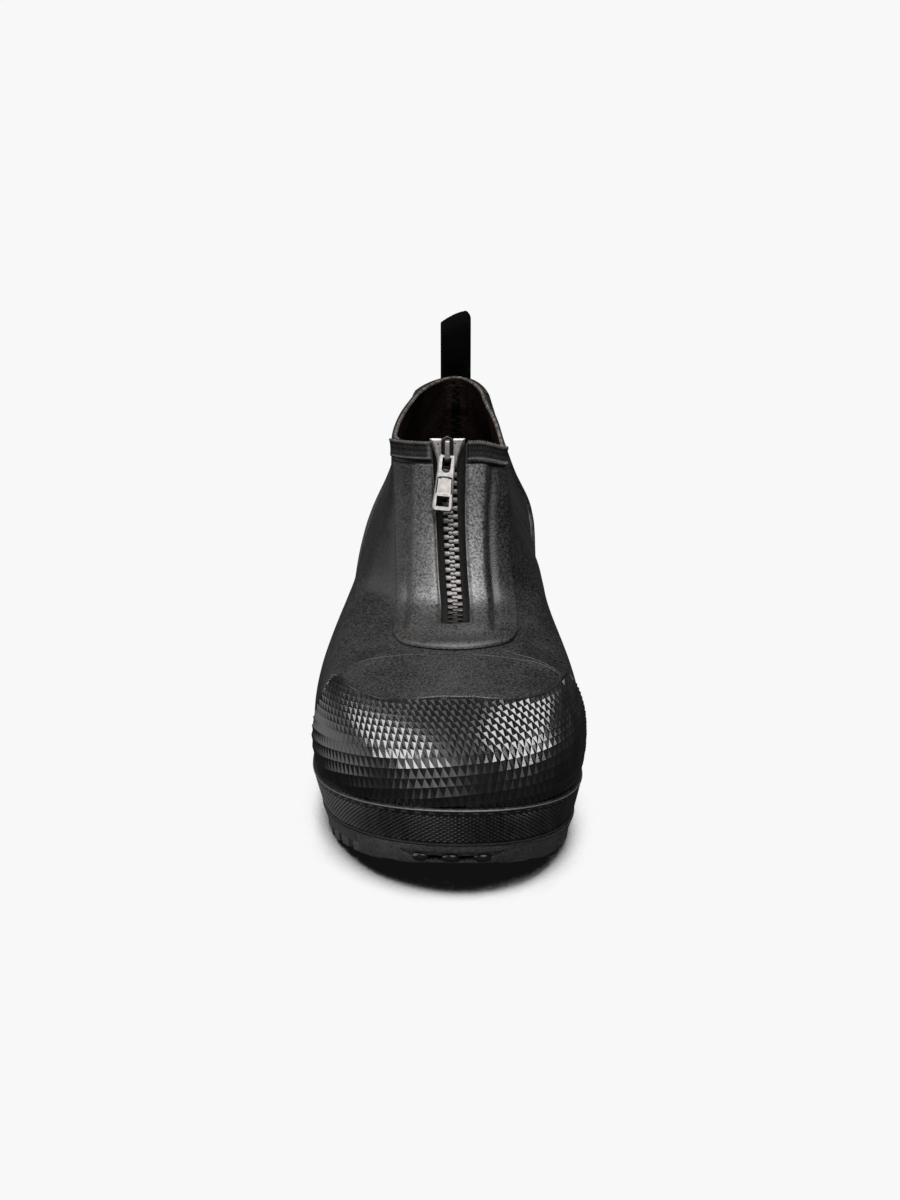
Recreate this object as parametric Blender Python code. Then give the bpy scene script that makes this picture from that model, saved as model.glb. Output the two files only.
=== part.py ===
"""Zip-front rubber overshoe for the right foot, standing on its sole with the toe towards -Y.

The upper is lofted through slanting rings, one row of RINGS each, from the feather edge at the
sole to the collar. Foxing, toe cap, counter, panel, bands, tapes and teeth all take their places
from that same surface. Tables are in millimetres, and MM brings their points to metres.
"""
import math
from collections import namedtuple
from functools import lru_cache

import bmesh
import bpy
import numpy as np
from mathutils import Matrix, Vector

for leftover in list(bpy.data.objects):
    bpy.data.objects.remove(leftover, do_unlink=True)

MM = 0.001
LEFT, RIGHT = -1, 1
MIDDLE = Vector((-1.0, 156.8, 0.0))   # middle of the footprint, which becomes the origin

# Driving dimensions, in millimetres
WALL = 2.2                  # rubber wall of the upper with its lining
GAP = 0.4                   # clearance between pieces that meet
COUNTER_GAP = 0.6           # clearance under the counter, whose slanting edge crosses the facets
FOXING_THICKNESS = 2.8
CAP_THICKNESS = 2.2
COUNTER_THICKNESS = 1.3
PANEL_THICKNESS = 1.2
PANEL_REACH = {LEFT: 20.5, RIGHT: 22.0}   # from the slot's edge to the panel's side edge
PANEL_FOOT_ROUND = 9.0
BAND_THICKNESS = 1.5
BAND_HEIGHT = 9.5
BAND_START, BAND_REACH = 0.5, 19.5        # from the slot's edge to the band's two ends
INSOLE_THICKNESS = 2.5
INSOLE_FLOAT = 0.1          # insole's underside over the feather edge
INSOLE_EASE = 1.0           # clearance all round between the insole and the wall
TAPE_THICKNESS = 0.8
TAPE_TOP = -WALL - GAP      # outer face of the tapes, under the wall's inner face
TAPE_HIDDEN_WIDTH = 9.0     # part of each tape that lies behind the wall
TAPE_HALF_GAP = 0.4
NECK_SPREAD = 2.4           # half gap between the tapes at the slider's neck
NECK_SPREAD_RINGS = 0.35    # stretch of rings over which the tapes part there
TOOTH_PITCH = 3.8
TOOTH_TOP = 0.2             # crown of the teeth over the line of the slot
TEETH_FOOT = 1.5            # start of the teeth over the foot of the slot
SLIDER_DROP = 3.6           # slider's middle below the rim
SLIDER_SHIFT = -0.8         # slider's middle to the side of the slot's
LOOP_WIDTH = 15.2
LOOP_THICKNESS = 1.4
LOOP_RISE = 31.0            # top of the loop over the rim of the collar
LOOP_SLANT = 0.42           # rise of the loop's top for each millimetre to the right
LOOP_FLATTEN = 10.0         # height over the rim at which the webbing has straightened
SOLE_TUCK = 2.0             # how far the sole's underside tucks in from its upper edge
LUG_TAPER = 0.94            # size of a lug's face against its root
BALL_Y, WAIST_Y, HEEL_Y = 95.0, 185.0, 255.0
TOE_KNOT_Y = 35.0           # forward of this the plain width is that of the ball

# Facets: columns on each side of the upper and rows of the smaller pieces
HALF_COLUMNS = 22
CAP_COLUMNS, CAP_ROWS = 16, 8
PANEL_COLUMNS, PANEL_FOOT_ROWS = 7, 3
BAND_COLUMNS, BAND_ROWS = 7, 4
LOOP_STOPS, LOOP_COLUMNS = 28, 5
INSOLE_ROWS, INSOLE_COLUMNS = 25, 5
INSOLE_END_TURN = 0.06      # share of the half turn that the insole's end rows stop short by
STOP_SPACING = 0.1          # least distance between two rows, in rings
SIDE_SAMPLES = 500          # points that a ring's side is measured with
NORMAL_RING_STEP, NORMAL_SHARE_STEP = 0.03, 0.006
ROUNDING = 1e-6
WELD = 1e-4

# One row for each slanting ring of the upper, from the sole up to the collar: its front and back
# points, how much of the sole's wave it follows, its half widths at the ball, waist and heel, how
# far back the nose and how far forward the tail keep rounding, and their powers. The lean shifts
# its front to the right, and slot is half the width of the strip that the zip's slot leaves out.
Ring = namedtuple("Ring", "name steps front_y front_z back_y back_z sole ball waist heel "
                          "nose nose_power tail tail_power lean slot")
RINGS = (
    Ring("feather", 2, 9.0, 25.6, 303.0, 21.0, 1.0, 51.4, 41.5, 39.5, 82, 2.1, 48, 2.3, -0.6, 6.3),
    Ring("foxing", 2, 4.5, 43.0, 308.0, 38.0, 1.0, 55.2, 43.5, 41.5, 86, 2.2, 50, 2.3, -1.2, 6.3),
    Ring("bulge", 3, 6.0, 51.5, 309.5, 46.5, 0.7, 57.3, 44.3, 42.3, 86, 2.3, 50, 2.3, -0.7, 6.3),
    Ring("knuckle", 3, 13.5, 61.8, 310.0, 56.0, 0.4, 57.0, 44.0, 42.2, 80, 2.3, 50, 2.3, -0.5, 6.3),
    Ring("cap", 3, 38.0, 71.5, 309.5, 66.0, 0.2, 54.8, 43.6, 41.6, 70, 2.2, 50, 2.3, 0.2, 6.3),
    Ring("panel foot", 1, 84.0, 80.0, 308.0, 80.0, 0.0, 51.2, 42.6, 40.6, 72, 2.0, 50, 2.2, 2.6, 6.3),
    Ring("zip foot", 2, 103.0, 83.6, 306.8, 88.0, 0.0, 50.0, 41.6, 39.4, 66, 2.0, 50, 2.2, 4.0, 6.3),
    Ring("bend", 2, 119.0, 87.8, 305.0, 97.0, 0.0, 47.0, 40.0, 37.2, 58, 2.0, 50, 2.1, 4.9, 6.3),
    Ring("throat", 3, 131.0, 98.5, 301.5, 112.0, 0.0, 34.0, 35.0, 30.8, 38, 2.3, 48, 2.1, 4.4, 6.3),
    Ring("shaft", 2, 146.0, 122.0, 297.5, 131.0, 0.0, 26.6, 27.6, 24.0, 22, 2.6, 46, 2.1, 3.5, 6.5),
    Ring("collar", 0, 159.0, 152.0, 295.0, 150.5, 0.0, 25.8, 25.2, 17.6, 14, 2.6, 42, 2.1, 2.9, 7.8),
)
FOXING_TOP, PANEL_FOOT, ZIP_FOOT, COLLAR = 1.0, 5.0, 6.0, 10.0
FOXING_STOPS = (0.03, 0.35, 0.65, 0.985)
OVERLAY_FOOT = 1.06         # cap and counter start just over the foxing
TAPE_FOOT = 5.75            # the tapes start below the foot of the slot
RIM_SEARCH_RINGS = np.linspace(8.5, COLLAR, 60)

# Side view of the sole: its upper edge, the underside of its plate and the plane of its tread
SoleStation = namedtuple("SoleStation", "y top plate tread")
SOLE = (
    SoleStation(0, 25.6, 20.4, 17.2),
    SoleStation(30, 18.8, 12.4, 8.4),
    SoleStation(60, 13.2, 6.4, 2.4),
    SoleStation(82, 10.8, 4.0, 0.0),
    SoleStation(125, 9.9, 4.0, 0.0),
    SoleStation(165, 13.0, 6.4, 3.4),
    SoleStation(205, 17.4, 10.6, 8.4),
    SoleStation(211, 17.9, 5.0, 0.0),
    SoleStation(270, 20.5, 5.0, 0.0),
    SoleStation(312, 21.0, 5.0, 0.0),
)

# Plan view of the last's middle line, which swings to the big-toe side at the toe
MidStation = namedtuple("MidStation", "y x")
MIDDLE_LINE = (
    MidStation(0, 7.0),
    MidStation(50, 2.0),
    MidStation(95, -1.2),
    MidStation(130, -3.0),
    MidStation(180, -3.2),
    MidStation(230, -2.4),
    MidStation(310, 4.2),
)

# Upper edge of the toe cap and of the counter, as ring against the share of the way to the heel
EdgePoint = namedtuple("EdgePoint", "share ring")
CAP_EDGE = (
    EdgePoint(0.00, 4.06),
    EdgePoint(0.08, 3.98),
    EdgePoint(0.13, 4.10),
    EdgePoint(0.17, 4.16),
    EdgePoint(0.22, 3.55),
    EdgePoint(0.28, 2.50),
    EdgePoint(0.34, 1.60),
)
COUNTER_EDGE = (
    EdgePoint(0.60, 1.0),
    EdgePoint(0.66, 3.0),
    EdgePoint(0.75, 6.2),
    EdgePoint(0.84, 9.0),
    EdgePoint(0.86, 9.8),
)

# Outline of one pair of meshed teeth, from the gap below it, as shares of the pitch
ToothRow = namedtuple("ToothRow", "part half_width")
TOOTH_ROWS = (ToothRow(0.0, 2.6), ToothRow(0.22, 3.3), ToothRow(0.72, 3.3))
TEETH_HEAD = 1.2            # end of the teeth below the slider's middle

# Slider, in its own axes: x across, y up the zip, z outwards from the line of the slot
SLIDER_PLATE = ((-6.4, 5.2), (0.0, 6.6), (6.4, 5.2), (6.0, 1.5), (4.2, -7.6), (-4.2, -7.6), (-6.0, 1.5))
SLIDER_FACE = (0.9, 2.4)
SLIDER_BACK = (-6.4, -4.9)
SLIDER_FUSE = 0.5           # how far the neck runs into both plates
NECK_OUTLINE = ((-1.5, 0.6), (1.5, 0.6), (1.5, 4.8), (-1.5, 4.8))
NECK_FOOT = 2.0             # the tapes are fully parted this far below the slider's middle
BRIDGE_OUTLINE = ((4.4, 1.8), (4.2, 5.2), (3.2, 6.2), (-4.8, 6.2), (-5.8, 5.2), (-6.0, 1.8),
                  (-4.6, 1.8), (-4.4, 4.6), (3.0, 4.6), (3.1, 1.8))
BRIDGE_HALF_WIDTH = 1.15

# Pull tab from its hinge bar down: half widths of the plate and of the opening in it
HINGE = Vector((0.0, -3.2, 3.5))
TAB_LIFT = 9.0              # degrees that the hanging tab stands off the slider's face
TAB_LEAN = 5.7              # degrees that the hanging tab leans to the left
TAB_THICKNESS = 1.2
TabRow = namedtuple("TabRow", "y half_width opening_half_width")
TAB_ROWS = (
    TabRow(0.65, 3.0, 2.0),
    TabRow(-0.65, 3.7, 2.0),
    TabRow(-7.8, 3.9, 2.0),
    TabRow(-18.6, 4.3, 2.2),
    TabRow(-23.4, 4.6, 2.2),
    TabRow(-24.6, 4.6, 2.2),
    TabRow(-25.6, 3.8, 2.0),
)
TAB_OPEN_ROWS = (1, 3)      # the tab is open below these rows: round the bridge, and near its end

# Path of the webbing loop's middle: out from the upper's outer face, and up from the rim
LoopPoint = namedtuple("LoopPoint", "out up")
LOOP_OUTSIDE = COUNTER_GAP + COUNTER_THICKNESS + GAP + LOOP_THICKNESS / 2
LOOP_INSIDE = -WALL - 3 * GAP - LOOP_THICKNESS / 2
LOOP_PATH = (
    LoopPoint(LOOP_OUTSIDE, -20.0),
    LoopPoint(LOOP_OUTSIDE, -10.0),
    LoopPoint(LOOP_OUTSIDE, 0.0),
    LoopPoint(4.0, 8.0),
    LoopPoint(4.6, 18.0),
    LoopPoint(3.8, LOOP_RISE - 4.5),
    LoopPoint(0.0, LOOP_RISE - LOOP_THICKNESS / 2),
    LoopPoint(-4.0, LOOP_RISE - 4.5),
    LoopPoint(-5.2, 18.0),
    LoopPoint(-5.0, 8.0),
    LoopPoint(LOOP_INSIDE, 0.0),
    LoopPoint(LOOP_INSIDE, -6.0),
    LoopPoint(LOOP_INSIDE, -12.0),
)

# Tread: stretches of lugs along the sole, with the cells of each odd and even row that are lugs
LugBand = namedtuple("LugBand", "start lug groove rows odd even")
LUG_BANDS = (
    LugBand(10.5, 7.0, 4.2, 12, (0, 2, 4, 6, 8), (0, 1, 3, 5, 7, 8)),
    LugBand(213.0, 8.4, 4.4, 7, (0, 1, 3, 5, 7, 8), (0, 2, 4, 6, 8)),
)
TREAD_COLUMNS = (-1.0, -0.74, -0.45, -0.27, -0.09, 0.09, 0.27, 0.45, 0.74, 1.0)
SOLE_END_ROWS = (0.7, 2.6)  # rows that round off the sole's two ends
WAIST_ROWS = (158.0, 180.0, 205.0)

# Colours of the materials
BLACK_RUBBER = (0.035, 0.035, 0.036)
SHINY_RUBBER = (0.03, 0.03, 0.03)
SOLE_RUBBER = (0.025, 0.025, 0.025)
BINDING_BLACK = (0.025, 0.025, 0.026)
WEBBING_BLACK = (0.012, 0.012, 0.012)
FELT_BROWN = (0.05, 0.04, 0.035)
TOOTH_SILVER = (0.45, 0.43, 0.42)
NICKEL = (0.55, 0.53, 0.50)


def smooth(knots, values, at):
    """Smooth curve through values at the knots, straight past both ends."""
    knots = np.asarray(knots, float)
    values = np.asarray(values, float)
    slopes = np.gradient(values, knots)
    i = np.clip(np.searchsorted(knots, at, side="right") - 1, 0, len(knots) - 2)
    step = knots[i + 1] - knots[i]
    t = np.clip((at - knots[i]) / step, 0.0, 1.0)
    value = (1 + 2 * t) * (1 - t) ** 2 * values[i] + t * t * (3 - 2 * t) * values[i + 1]
    value = value + t * (1 - t) * step * ((1 - t) * slopes[i] - t * slopes[i + 1])
    before = np.minimum(at - knots[0], 0.0) * slopes[0]
    after = np.maximum(at - knots[-1], 0.0) * slopes[-1]
    return value + before + after


def along(rows, column, y):
    """A column of a table of stations, read at y."""
    knots = [row[0] for row in rows]
    values = [getattr(row, column) for row in rows]
    return smooth(knots, values, np.clip(y, knots[0], knots[-1]))


def sole_height(column, y):
    """A height of the sole's side view, with straight runs between its stations."""
    return np.interp(y, [row.y for row in SOLE], [getattr(row, column) for row in SOLE])


def sole_top(y):
    return along(SOLE, "top", y)


@lru_cache(maxsize=None)
def ring_at(k):
    """The ring at position k, between the rows of RINGS."""
    rows = np.array([ring[2:] for ring in RINGS], float)
    columns = [float(smooth(range(len(RINGS)), rows[:, c], k)) for c in range(rows.shape[1])]
    return Ring("between", 0, *columns)


def swell(t, power):
    """Rounded end: nothing at t = 0, full from t = 1."""
    t = np.clip(t, 0.0, 1.0)
    return (1 - (1 - t) ** power) ** (1 / power)


def half_width(ring, y, grow=0.0):
    """Half width of a ring at y, or of the same outline grown all round."""
    front = ring.front_y - grow
    back = ring.back_y + grow
    widths = np.array((ring.ball, ring.ball, ring.waist, ring.heel)) + grow
    plain = smooth((TOE_KNOT_Y, BALL_Y, WAIST_Y, HEEL_Y), widths, np.maximum(y, TOE_KNOT_Y))
    nose = swell((y - front) / ring.nose, ring.nose_power)
    tail = swell((back - y) / ring.tail, ring.tail_power)
    return plain * nose * tail


@lru_cache(maxsize=None)
def side_curve(k, side):
    """Distances and points along one side of ring k to the middle of the heel, and the slot's edge."""
    ring = ring_at(k)
    u = (1 - np.cos(np.linspace(0, math.pi, SIDE_SAMPLES))) / 2
    y = ring.front_y + (ring.back_y - ring.front_y) * u
    width = half_width(ring, y)
    wave = sole_top(y) - (SOLE[0].top + (SOLE[-1].top - SOLE[0].top) * u)
    z = ring.front_z + (ring.back_z - ring.front_z) * u + ring.sole * wave
    x = side * width + along(MIDDLE_LINE, "x", y) + ring.lean * (1 - u)
    points = np.stack([x, y, z], axis=1)
    steps = np.linalg.norm(np.diff(points, axis=0), axis=1)
    distance = np.concatenate([[0.0], np.cumsum(steps)])
    front = slice(0, len(y) // 3)
    return distance, points, float(np.interp(ring.slot, width[front], distance[front]))


def skin(k, side, share):
    """Point of the upper's outer face, at a share of the way from the slot's edge to the heel."""
    distance, points, start = side_curve(k, side)
    at = start + (distance[-1] - start) * share
    return np.array([np.interp(at, distance, points[:, axis]) for axis in range(3)])


def share_at(k, side, arc):
    """Share of the way that lies an arc length from the slot's edge."""
    distance, _, start = side_curve(k, side)
    return arc / (distance[-1] - start)


def unit(vector):
    return vector / np.linalg.norm(vector)


def skin_normal(k, side, share):
    """Outward normal of the upper."""
    up = skin(k + NORMAL_RING_STEP, side, share) - skin(k - NORMAL_RING_STEP, side, share)
    behind = skin(k, side, min(share + NORMAL_SHARE_STEP, 1.0))
    ahead = skin(k, side, max(share - NORMAL_SHARE_STEP, 0.0))
    return unit(np.cross(up, behind - ahead) * -side)


def lifted(k, side, share, height):
    """Point that stands a height off the upper's outer face."""
    return skin(k, side, share) + height * skin_normal(k, side, share)


def lifted_level(k, side, share, height):
    """Point that stands a height off the upper, measured level with the floor."""
    normal = skin_normal(k, side, share)
    normal[2] = 0.0
    return skin(k, side, share) + height * unit(normal)


def across_slot(k, x, height):
    """Point in the zip's slot, x from its middle line, a height off the line between its edges."""
    left, right = skin(k, LEFT, 0.0), skin(k, RIGHT, 0.0)
    normal = unit(skin_normal(k, LEFT, 0.0) + skin_normal(k, RIGHT, 0.0))
    return (left + right) / 2 + x * unit(right - left) + height * normal


def ring_below_rim(drop):
    """Ring position that lies a distance below the collar, measured at the slot's edge."""
    points = np.array([skin(k, LEFT, 0.0) for k in RIM_SEARCH_RINGS])
    length = np.concatenate([[0.0], np.cumsum(np.linalg.norm(np.diff(points, axis=0), axis=1))])
    return float(np.interp(length[-1] - drop, length, RIM_SEARCH_RINGS))


def finish(name, bm, colour, roughness, metallic=0.0, matrix=None, sharp=40.0):
    """Object in metres from a mesh in millimetres, in its own material, about the origin."""
    bmesh.ops.recalc_face_normals(bm, faces=bm.faces)
    offset = Vector((0, 0, 0)) if matrix else -MIDDLE
    for vert in bm.verts:
        vert.co = (vert.co + offset) * MM
    mesh = bpy.data.meshes.new(name)
    bm.to_mesh(mesh)
    bm.free()
    mesh.shade_smooth()
    mesh.set_sharp_from_angle(angle=math.radians(sharp))
    obj = bpy.data.objects.new(name, mesh)
    bpy.context.scene.collection.objects.link(obj)
    if matrix:
        obj.matrix_world = matrix
    material = bpy.data.materials.new(name)
    material.use_nodes = True
    shader = material.node_tree.nodes["Principled BSDF"]
    shader.inputs["Base Color"].default_value = (*colour, 1.0)
    shader.inputs["Roughness"].default_value = roughness
    shader.inputs["Metallic"].default_value = metallic
    mesh.materials.append(material)
    return obj


def shell(outer, inner, wrap=False, present=None):
    """Closed mesh between two grids of points, and the inner grid's faces by row and column."""
    rows, columns = len(outer), len(outer[0])
    cells_across = columns if wrap else columns - 1
    bm = bmesh.new()
    faces = [[[bm.verts.new(p) for p in row] for row in grid] for grid in (outer, inner)]
    inner_faces = {}

    def kept(i, j):
        j = j % columns if wrap else j
        inside = 0 <= i < rows - 1 and 0 <= j < cells_across
        return inside and (present is None or present(i, j))

    for i in range(rows - 1):
        for j in range(cells_across):
            if not kept(i, j):
                continue
            n = (j + 1) % columns
            corners = ((i, j), (i, n), (i + 1, n), (i + 1, j))
            neighbours = ((i - 1, j), (i, j + 1), (i + 1, j), (i, j - 1))
            bm.faces.new([faces[0][r][c] for r, c in corners])
            inner_faces[i, j] = bm.faces.new([faces[1][r][c] for r, c in reversed(corners)])
            for edge, (r, c) in enumerate(neighbours):
                if kept(r, c):
                    continue
                a, b = corners[edge], corners[(edge + 1) % 4]
                bm.faces.new([faces[0][b[0]][b[1]], faces[0][a[0]][a[1]],
                              faces[1][a[0]][a[1]], faces[1][b[0]][b[1]]])
    loose = [vert for vert in bm.verts if not vert.link_faces]
    bmesh.ops.delete(bm, geom=loose, context="VERTS")
    return bm, inner_faces


def slab(outer, inner, wrap=False, present=None):
    return shell(outer, inner, wrap, present)[0]


def ring_stops():
    """Ring positions of the upper's facets, with the number of steps that each row gives."""
    stops = [k + step / ring.steps for k, ring in enumerate(RINGS) for step in range(ring.steps)]
    return stops + [COLLAR]


def shares(start, stop):
    """The upper's own columns between two shares of the way round."""
    inside = [j / HALF_COLUMNS for j in range(HALF_COLUMNS + 1)]
    return [share for share in inside if start - ROUNDING <= share <= stop + ROUNDING]


def both_sides(start):
    """Columns from the left side round the heel to the right side."""
    back = shares(start, 1.0)
    return [(LEFT, share) for share in back] + [(RIGHT, share) for share in reversed(back[:-1])]


def build_upper():
    stops = ring_stops()
    columns = both_sides(0.0)
    grids = [[[lifted(k, side, share, height) for side, share in columns] for k in stops]
             for height in (0.0, -WALL)]

    def closed_under_zip(i, j):
        return j < len(columns) - 1 or stops[i + 1] <= ZIP_FOOT

    finish("upper", slab(*grids, wrap=True, present=closed_under_zip), BLACK_RUBBER, 0.6)


def build_foxing():
    columns = both_sides(0.0)
    grids = [[[lifted_level(k, side, share, height) for side, share in columns] for k in FOXING_STOPS]
             for height in (GAP + FOXING_THICKNESS, GAP)]
    finish("foxing", slab(*grids, wrap=True), SHINY_RUBBER, 0.5)


def build_toe_cap():
    fine = np.linspace(0.0, CAP_EDGE[-1].share, CAP_COLUMNS)
    columns = [(LEFT, share) for share in reversed(fine)] + [(RIGHT, share) for share in fine]
    climb = [np.linspace(OVERLAY_FOOT, along(CAP_EDGE, "ring", share), CAP_ROWS) for _, share in columns]
    grids = [[[lifted(k, side, share, height) for (side, share), k in zip(columns, row)]
              for row in zip(*climb)]
             for height in (GAP + CAP_THICKNESS, GAP)]
    finish("toe_cap", slab(*grids), SHINY_RUBBER, 0.4)


def build_heel_counter():
    head = COUNTER_EDGE[-1].ring
    between = [k for k in ring_stops() if OVERLAY_FOOT + STOP_SPACING < k < head]
    stops = [OVERLAY_FOOT, *between, head]
    columns = both_sides(shares(0.0, COUNTER_EDGE[0].share)[-1])

    def trimmed(k, share):
        return max(share, smooth([p.ring for p in COUNTER_EDGE], [p.share for p in COUNTER_EDGE], k))

    grids = [[[lifted(k, side, trimmed(k, share), height) for side, share in columns] for k in stops]
             for height in (COUNTER_GAP + COUNTER_THICKNESS, COUNTER_GAP)]
    bm = slab(*grids)
    bmesh.ops.remove_doubles(bm, verts=bm.verts, dist=WELD)
    finish("heel_counter", bm, BLACK_RUBBER, 0.55)


def build_zip_panel():
    parts = np.linspace(0.0, 1.0, PANEL_COLUMNS)
    columns = [(LEFT, part) for part in reversed(parts)] + [(RIGHT, part) for part in parts]
    top = ring_below_rim(BAND_HEIGHT + GAP)
    rise_per_ring = np.linalg.norm(skin(ZIP_FOOT, LEFT, 0.0) - skin(PANEL_FOOT, LEFT, 0.0))
    above_foot = [k for k in ring_stops() if ZIP_FOOT < k < top - STOP_SPACING]

    def stops(side, part):
        reach = PANEL_REACH[side]
        past = max(part * reach - (reach - PANEL_FOOT_ROUND), 0.0)
        lift = PANEL_FOOT_ROUND - math.sqrt(PANEL_FOOT_ROUND ** 2 - past ** 2)
        foot = np.linspace(PANEL_FOOT + lift / rise_per_ring, ZIP_FOOT, PANEL_FOOT_ROWS)
        return [*foot, *above_foot, top]

    climb = [stops(side, part) for side, part in columns]
    grids = [[[lifted(k, side, share_at(k, side, part * PANEL_REACH[side]), height)
               for (side, part), k in zip(columns, row)]
              for row in zip(*climb)]
             for height in (GAP + PANEL_THICKNESS, GAP)]
    slot_cell = PANEL_COLUMNS - 1
    bm = slab(*grids, present=lambda i, j: j != slot_cell or i < PANEL_FOOT_ROWS - 1)
    finish("zip_panel", bm, BLACK_RUBBER, 0.55)


def build_collar_bands():
    rows = np.linspace(ring_below_rim(BAND_HEIGHT), COLLAR, BAND_ROWS)
    arcs = np.linspace(BAND_START, BAND_REACH, BAND_COLUMNS)
    for name, side in (("collar_band_left", LEFT), ("collar_band_right", RIGHT)):
        grids = [[[lifted(k, side, share_at(k, side, arc), height) for arc in arcs] for k in rows]
                 for height in (GAP + BAND_THICKNESS, GAP)]
        finish(name, slab(*grids), BINDING_BLACK, 0.7)


def build_zip_tapes():
    parted = ring_below_rim(SLIDER_DROP + NECK_FOOT)
    parting = (parted - NECK_SPREAD_RINGS, parted)
    stops = [TAPE_FOOT] + [k for k in ring_stops() if k >= ZIP_FOOT]
    for name, side in (("zip_tape_left", LEFT), ("zip_tape_right", RIGHT)):
        edge = (side * TAPE_HALF_GAP, side * NECK_SPREAD + SLIDER_SHIFT)
        grids = []
        for height in (TAPE_TOP, TAPE_TOP - TAPE_THICKNESS):
            grid = []
            for k in stops:
                hidden = [lifted(k, side, share_at(k, side, arc), height)
                          for arc in (TAPE_HIDDEN_WIDTH, TAPE_HIDDEN_WIDTH / 2, 0.0)]
                grid.append([*hidden, across_slot(k, np.interp(k, parting, edge), height)])
            grids.append(grid)
        finish(name, slab(*grids), BINDING_BLACK, 0.9)


def build_zip_teeth():
    stops = np.linspace(ZIP_FOOT, COLLAR, 300)
    points = np.array([across_slot(k, 0.0, 0.0) for k in stops])
    length = np.concatenate([[0.0], np.cumsum(np.linalg.norm(np.diff(points, axis=0), axis=1))])
    head = length[-1] - SLIDER_DROP - TEETH_HEAD
    grids = ([], [])
    for tooth in range(int((head - TEETH_FOOT) / TOOTH_PITCH)):
        for row in TOOTH_ROWS:
            k = float(np.interp(TEETH_FOOT + (tooth + row.part) * TOOTH_PITCH, length, stops))
            for grid, height in zip(grids, (TOOTH_TOP, TAPE_TOP + GAP)):
                grid.append([across_slot(k, x, height) for x in (-row.half_width, row.half_width)])
    finish("zip_teeth", slab(*grids), TOOTH_SILVER, 0.35, metallic=0.8)


def slider_frame():
    """Matrix at the slider's middle: X across, Y up the zip, Z outwards."""
    k = ring_below_rim(SLIDER_DROP)
    x_axis = unit(skin(k, RIGHT, 0.0) - skin(k, LEFT, 0.0))
    climb = across_slot(k + NORMAL_RING_STEP, 0.0, 0.0) - across_slot(k - NORMAL_RING_STEP, 0.0, 0.0)
    z_axis = unit(np.cross(x_axis, climb))
    y_axis = np.cross(z_axis, x_axis)
    place = Vector(across_slot(k, SLIDER_SHIFT, 0.0)) - MIDDLE
    return Matrix.Translation(place * MM) @ Matrix((x_axis, y_axis, z_axis)).transposed().to_4x4()


def prism(outline, low, high, place):
    """Closed mesh of an outline of pairs, drawn between two heights by place(a, b, height)."""
    bm = bmesh.new()
    rings = [[bm.verts.new(place(a, b, height)) for a, b in outline] for height in (low, high)]
    for j in range(len(outline)):
        n = (j + 1) % len(outline)
        bm.faces.new((rings[0][j], rings[0][n], rings[1][n], rings[1][j]))
    bm.faces.new(rings[1])
    bm.faces.new(list(reversed(rings[0])))
    return bm


def build_slider():
    frame = slider_frame()

    def flat(x, y, z):
        return (x, y, z)

    def upright(y, z, x):
        return (x, y, z)

    slider = finish("slider", prism(SLIDER_PLATE, *SLIDER_FACE, flat), NICKEL, 0.25, 1.0, frame)
    neck_span = (SLIDER_BACK[0] + SLIDER_FUSE, SLIDER_FACE[1] - SLIDER_FUSE)
    joined = (
        ("slider_bridge", prism(BRIDGE_OUTLINE, -BRIDGE_HALF_WIDTH, BRIDGE_HALF_WIDTH, upright)),
        ("slider_neck", prism(NECK_OUTLINE, *neck_span, flat)),
        ("slider_back", prism(SLIDER_PLATE, *SLIDER_BACK, flat)),
    )
    for name, bm in joined:
        guide = finish(name, bm, NICKEL, 0.25, 1.0, frame)
        guide.hide_render = True
        guide.display_type = "WIRE"
        union = slider.modifiers.new(name, "BOOLEAN")
        union.operation = "UNION"
        union.object = guide


def build_pull_tab():
    def face(z):
        return [[(x, row.y, z) for x in (-row.half_width, -row.opening_half_width,
                                         row.opening_half_width, row.half_width)] for row in TAB_ROWS]

    half = TAB_THICKNESS / 2
    bm = slab(face(half), face(-half), present=lambda i, j: j != 1 or i not in TAB_OPEN_ROWS)
    hinge = Matrix.Translation(HINGE * MM)
    lift = Matrix.Rotation(math.radians(-TAB_LIFT), 4, "X")
    lean = Matrix.Rotation(math.radians(-TAB_LEAN), 4, "Z")
    finish("pull_tab", bm, NICKEL, 0.25, 1.0, slider_frame() @ hinge @ lift @ lean)


def loop_point(x, out, up):
    """Point of the loop, x across from the middle of the heel, following the collar's curve."""
    side = RIGHT if x > 0 else LEFT
    rise_per_ring = RINGS[-1].back_z - RINGS[-2].back_z
    k = COLLAR + min(up, 0.0) / rise_per_ring
    on_curve = lifted_level(k, side, 1.0 - share_at(k, side, abs(x)), out)
    on_line = lifted_level(k, LEFT, 1.0, out) + np.array([x, 0.0, 0.0])
    over_rim = max(up, 0.0)
    t = min(over_rim / LOOP_FLATTEN, 1.0)
    place = on_curve + t * t * (3 - 2 * t) * (on_line - on_curve)
    place[2] = on_curve[2] + over_rim + LOOP_SLANT * x * over_rim / LOOP_RISE
    return place


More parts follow.
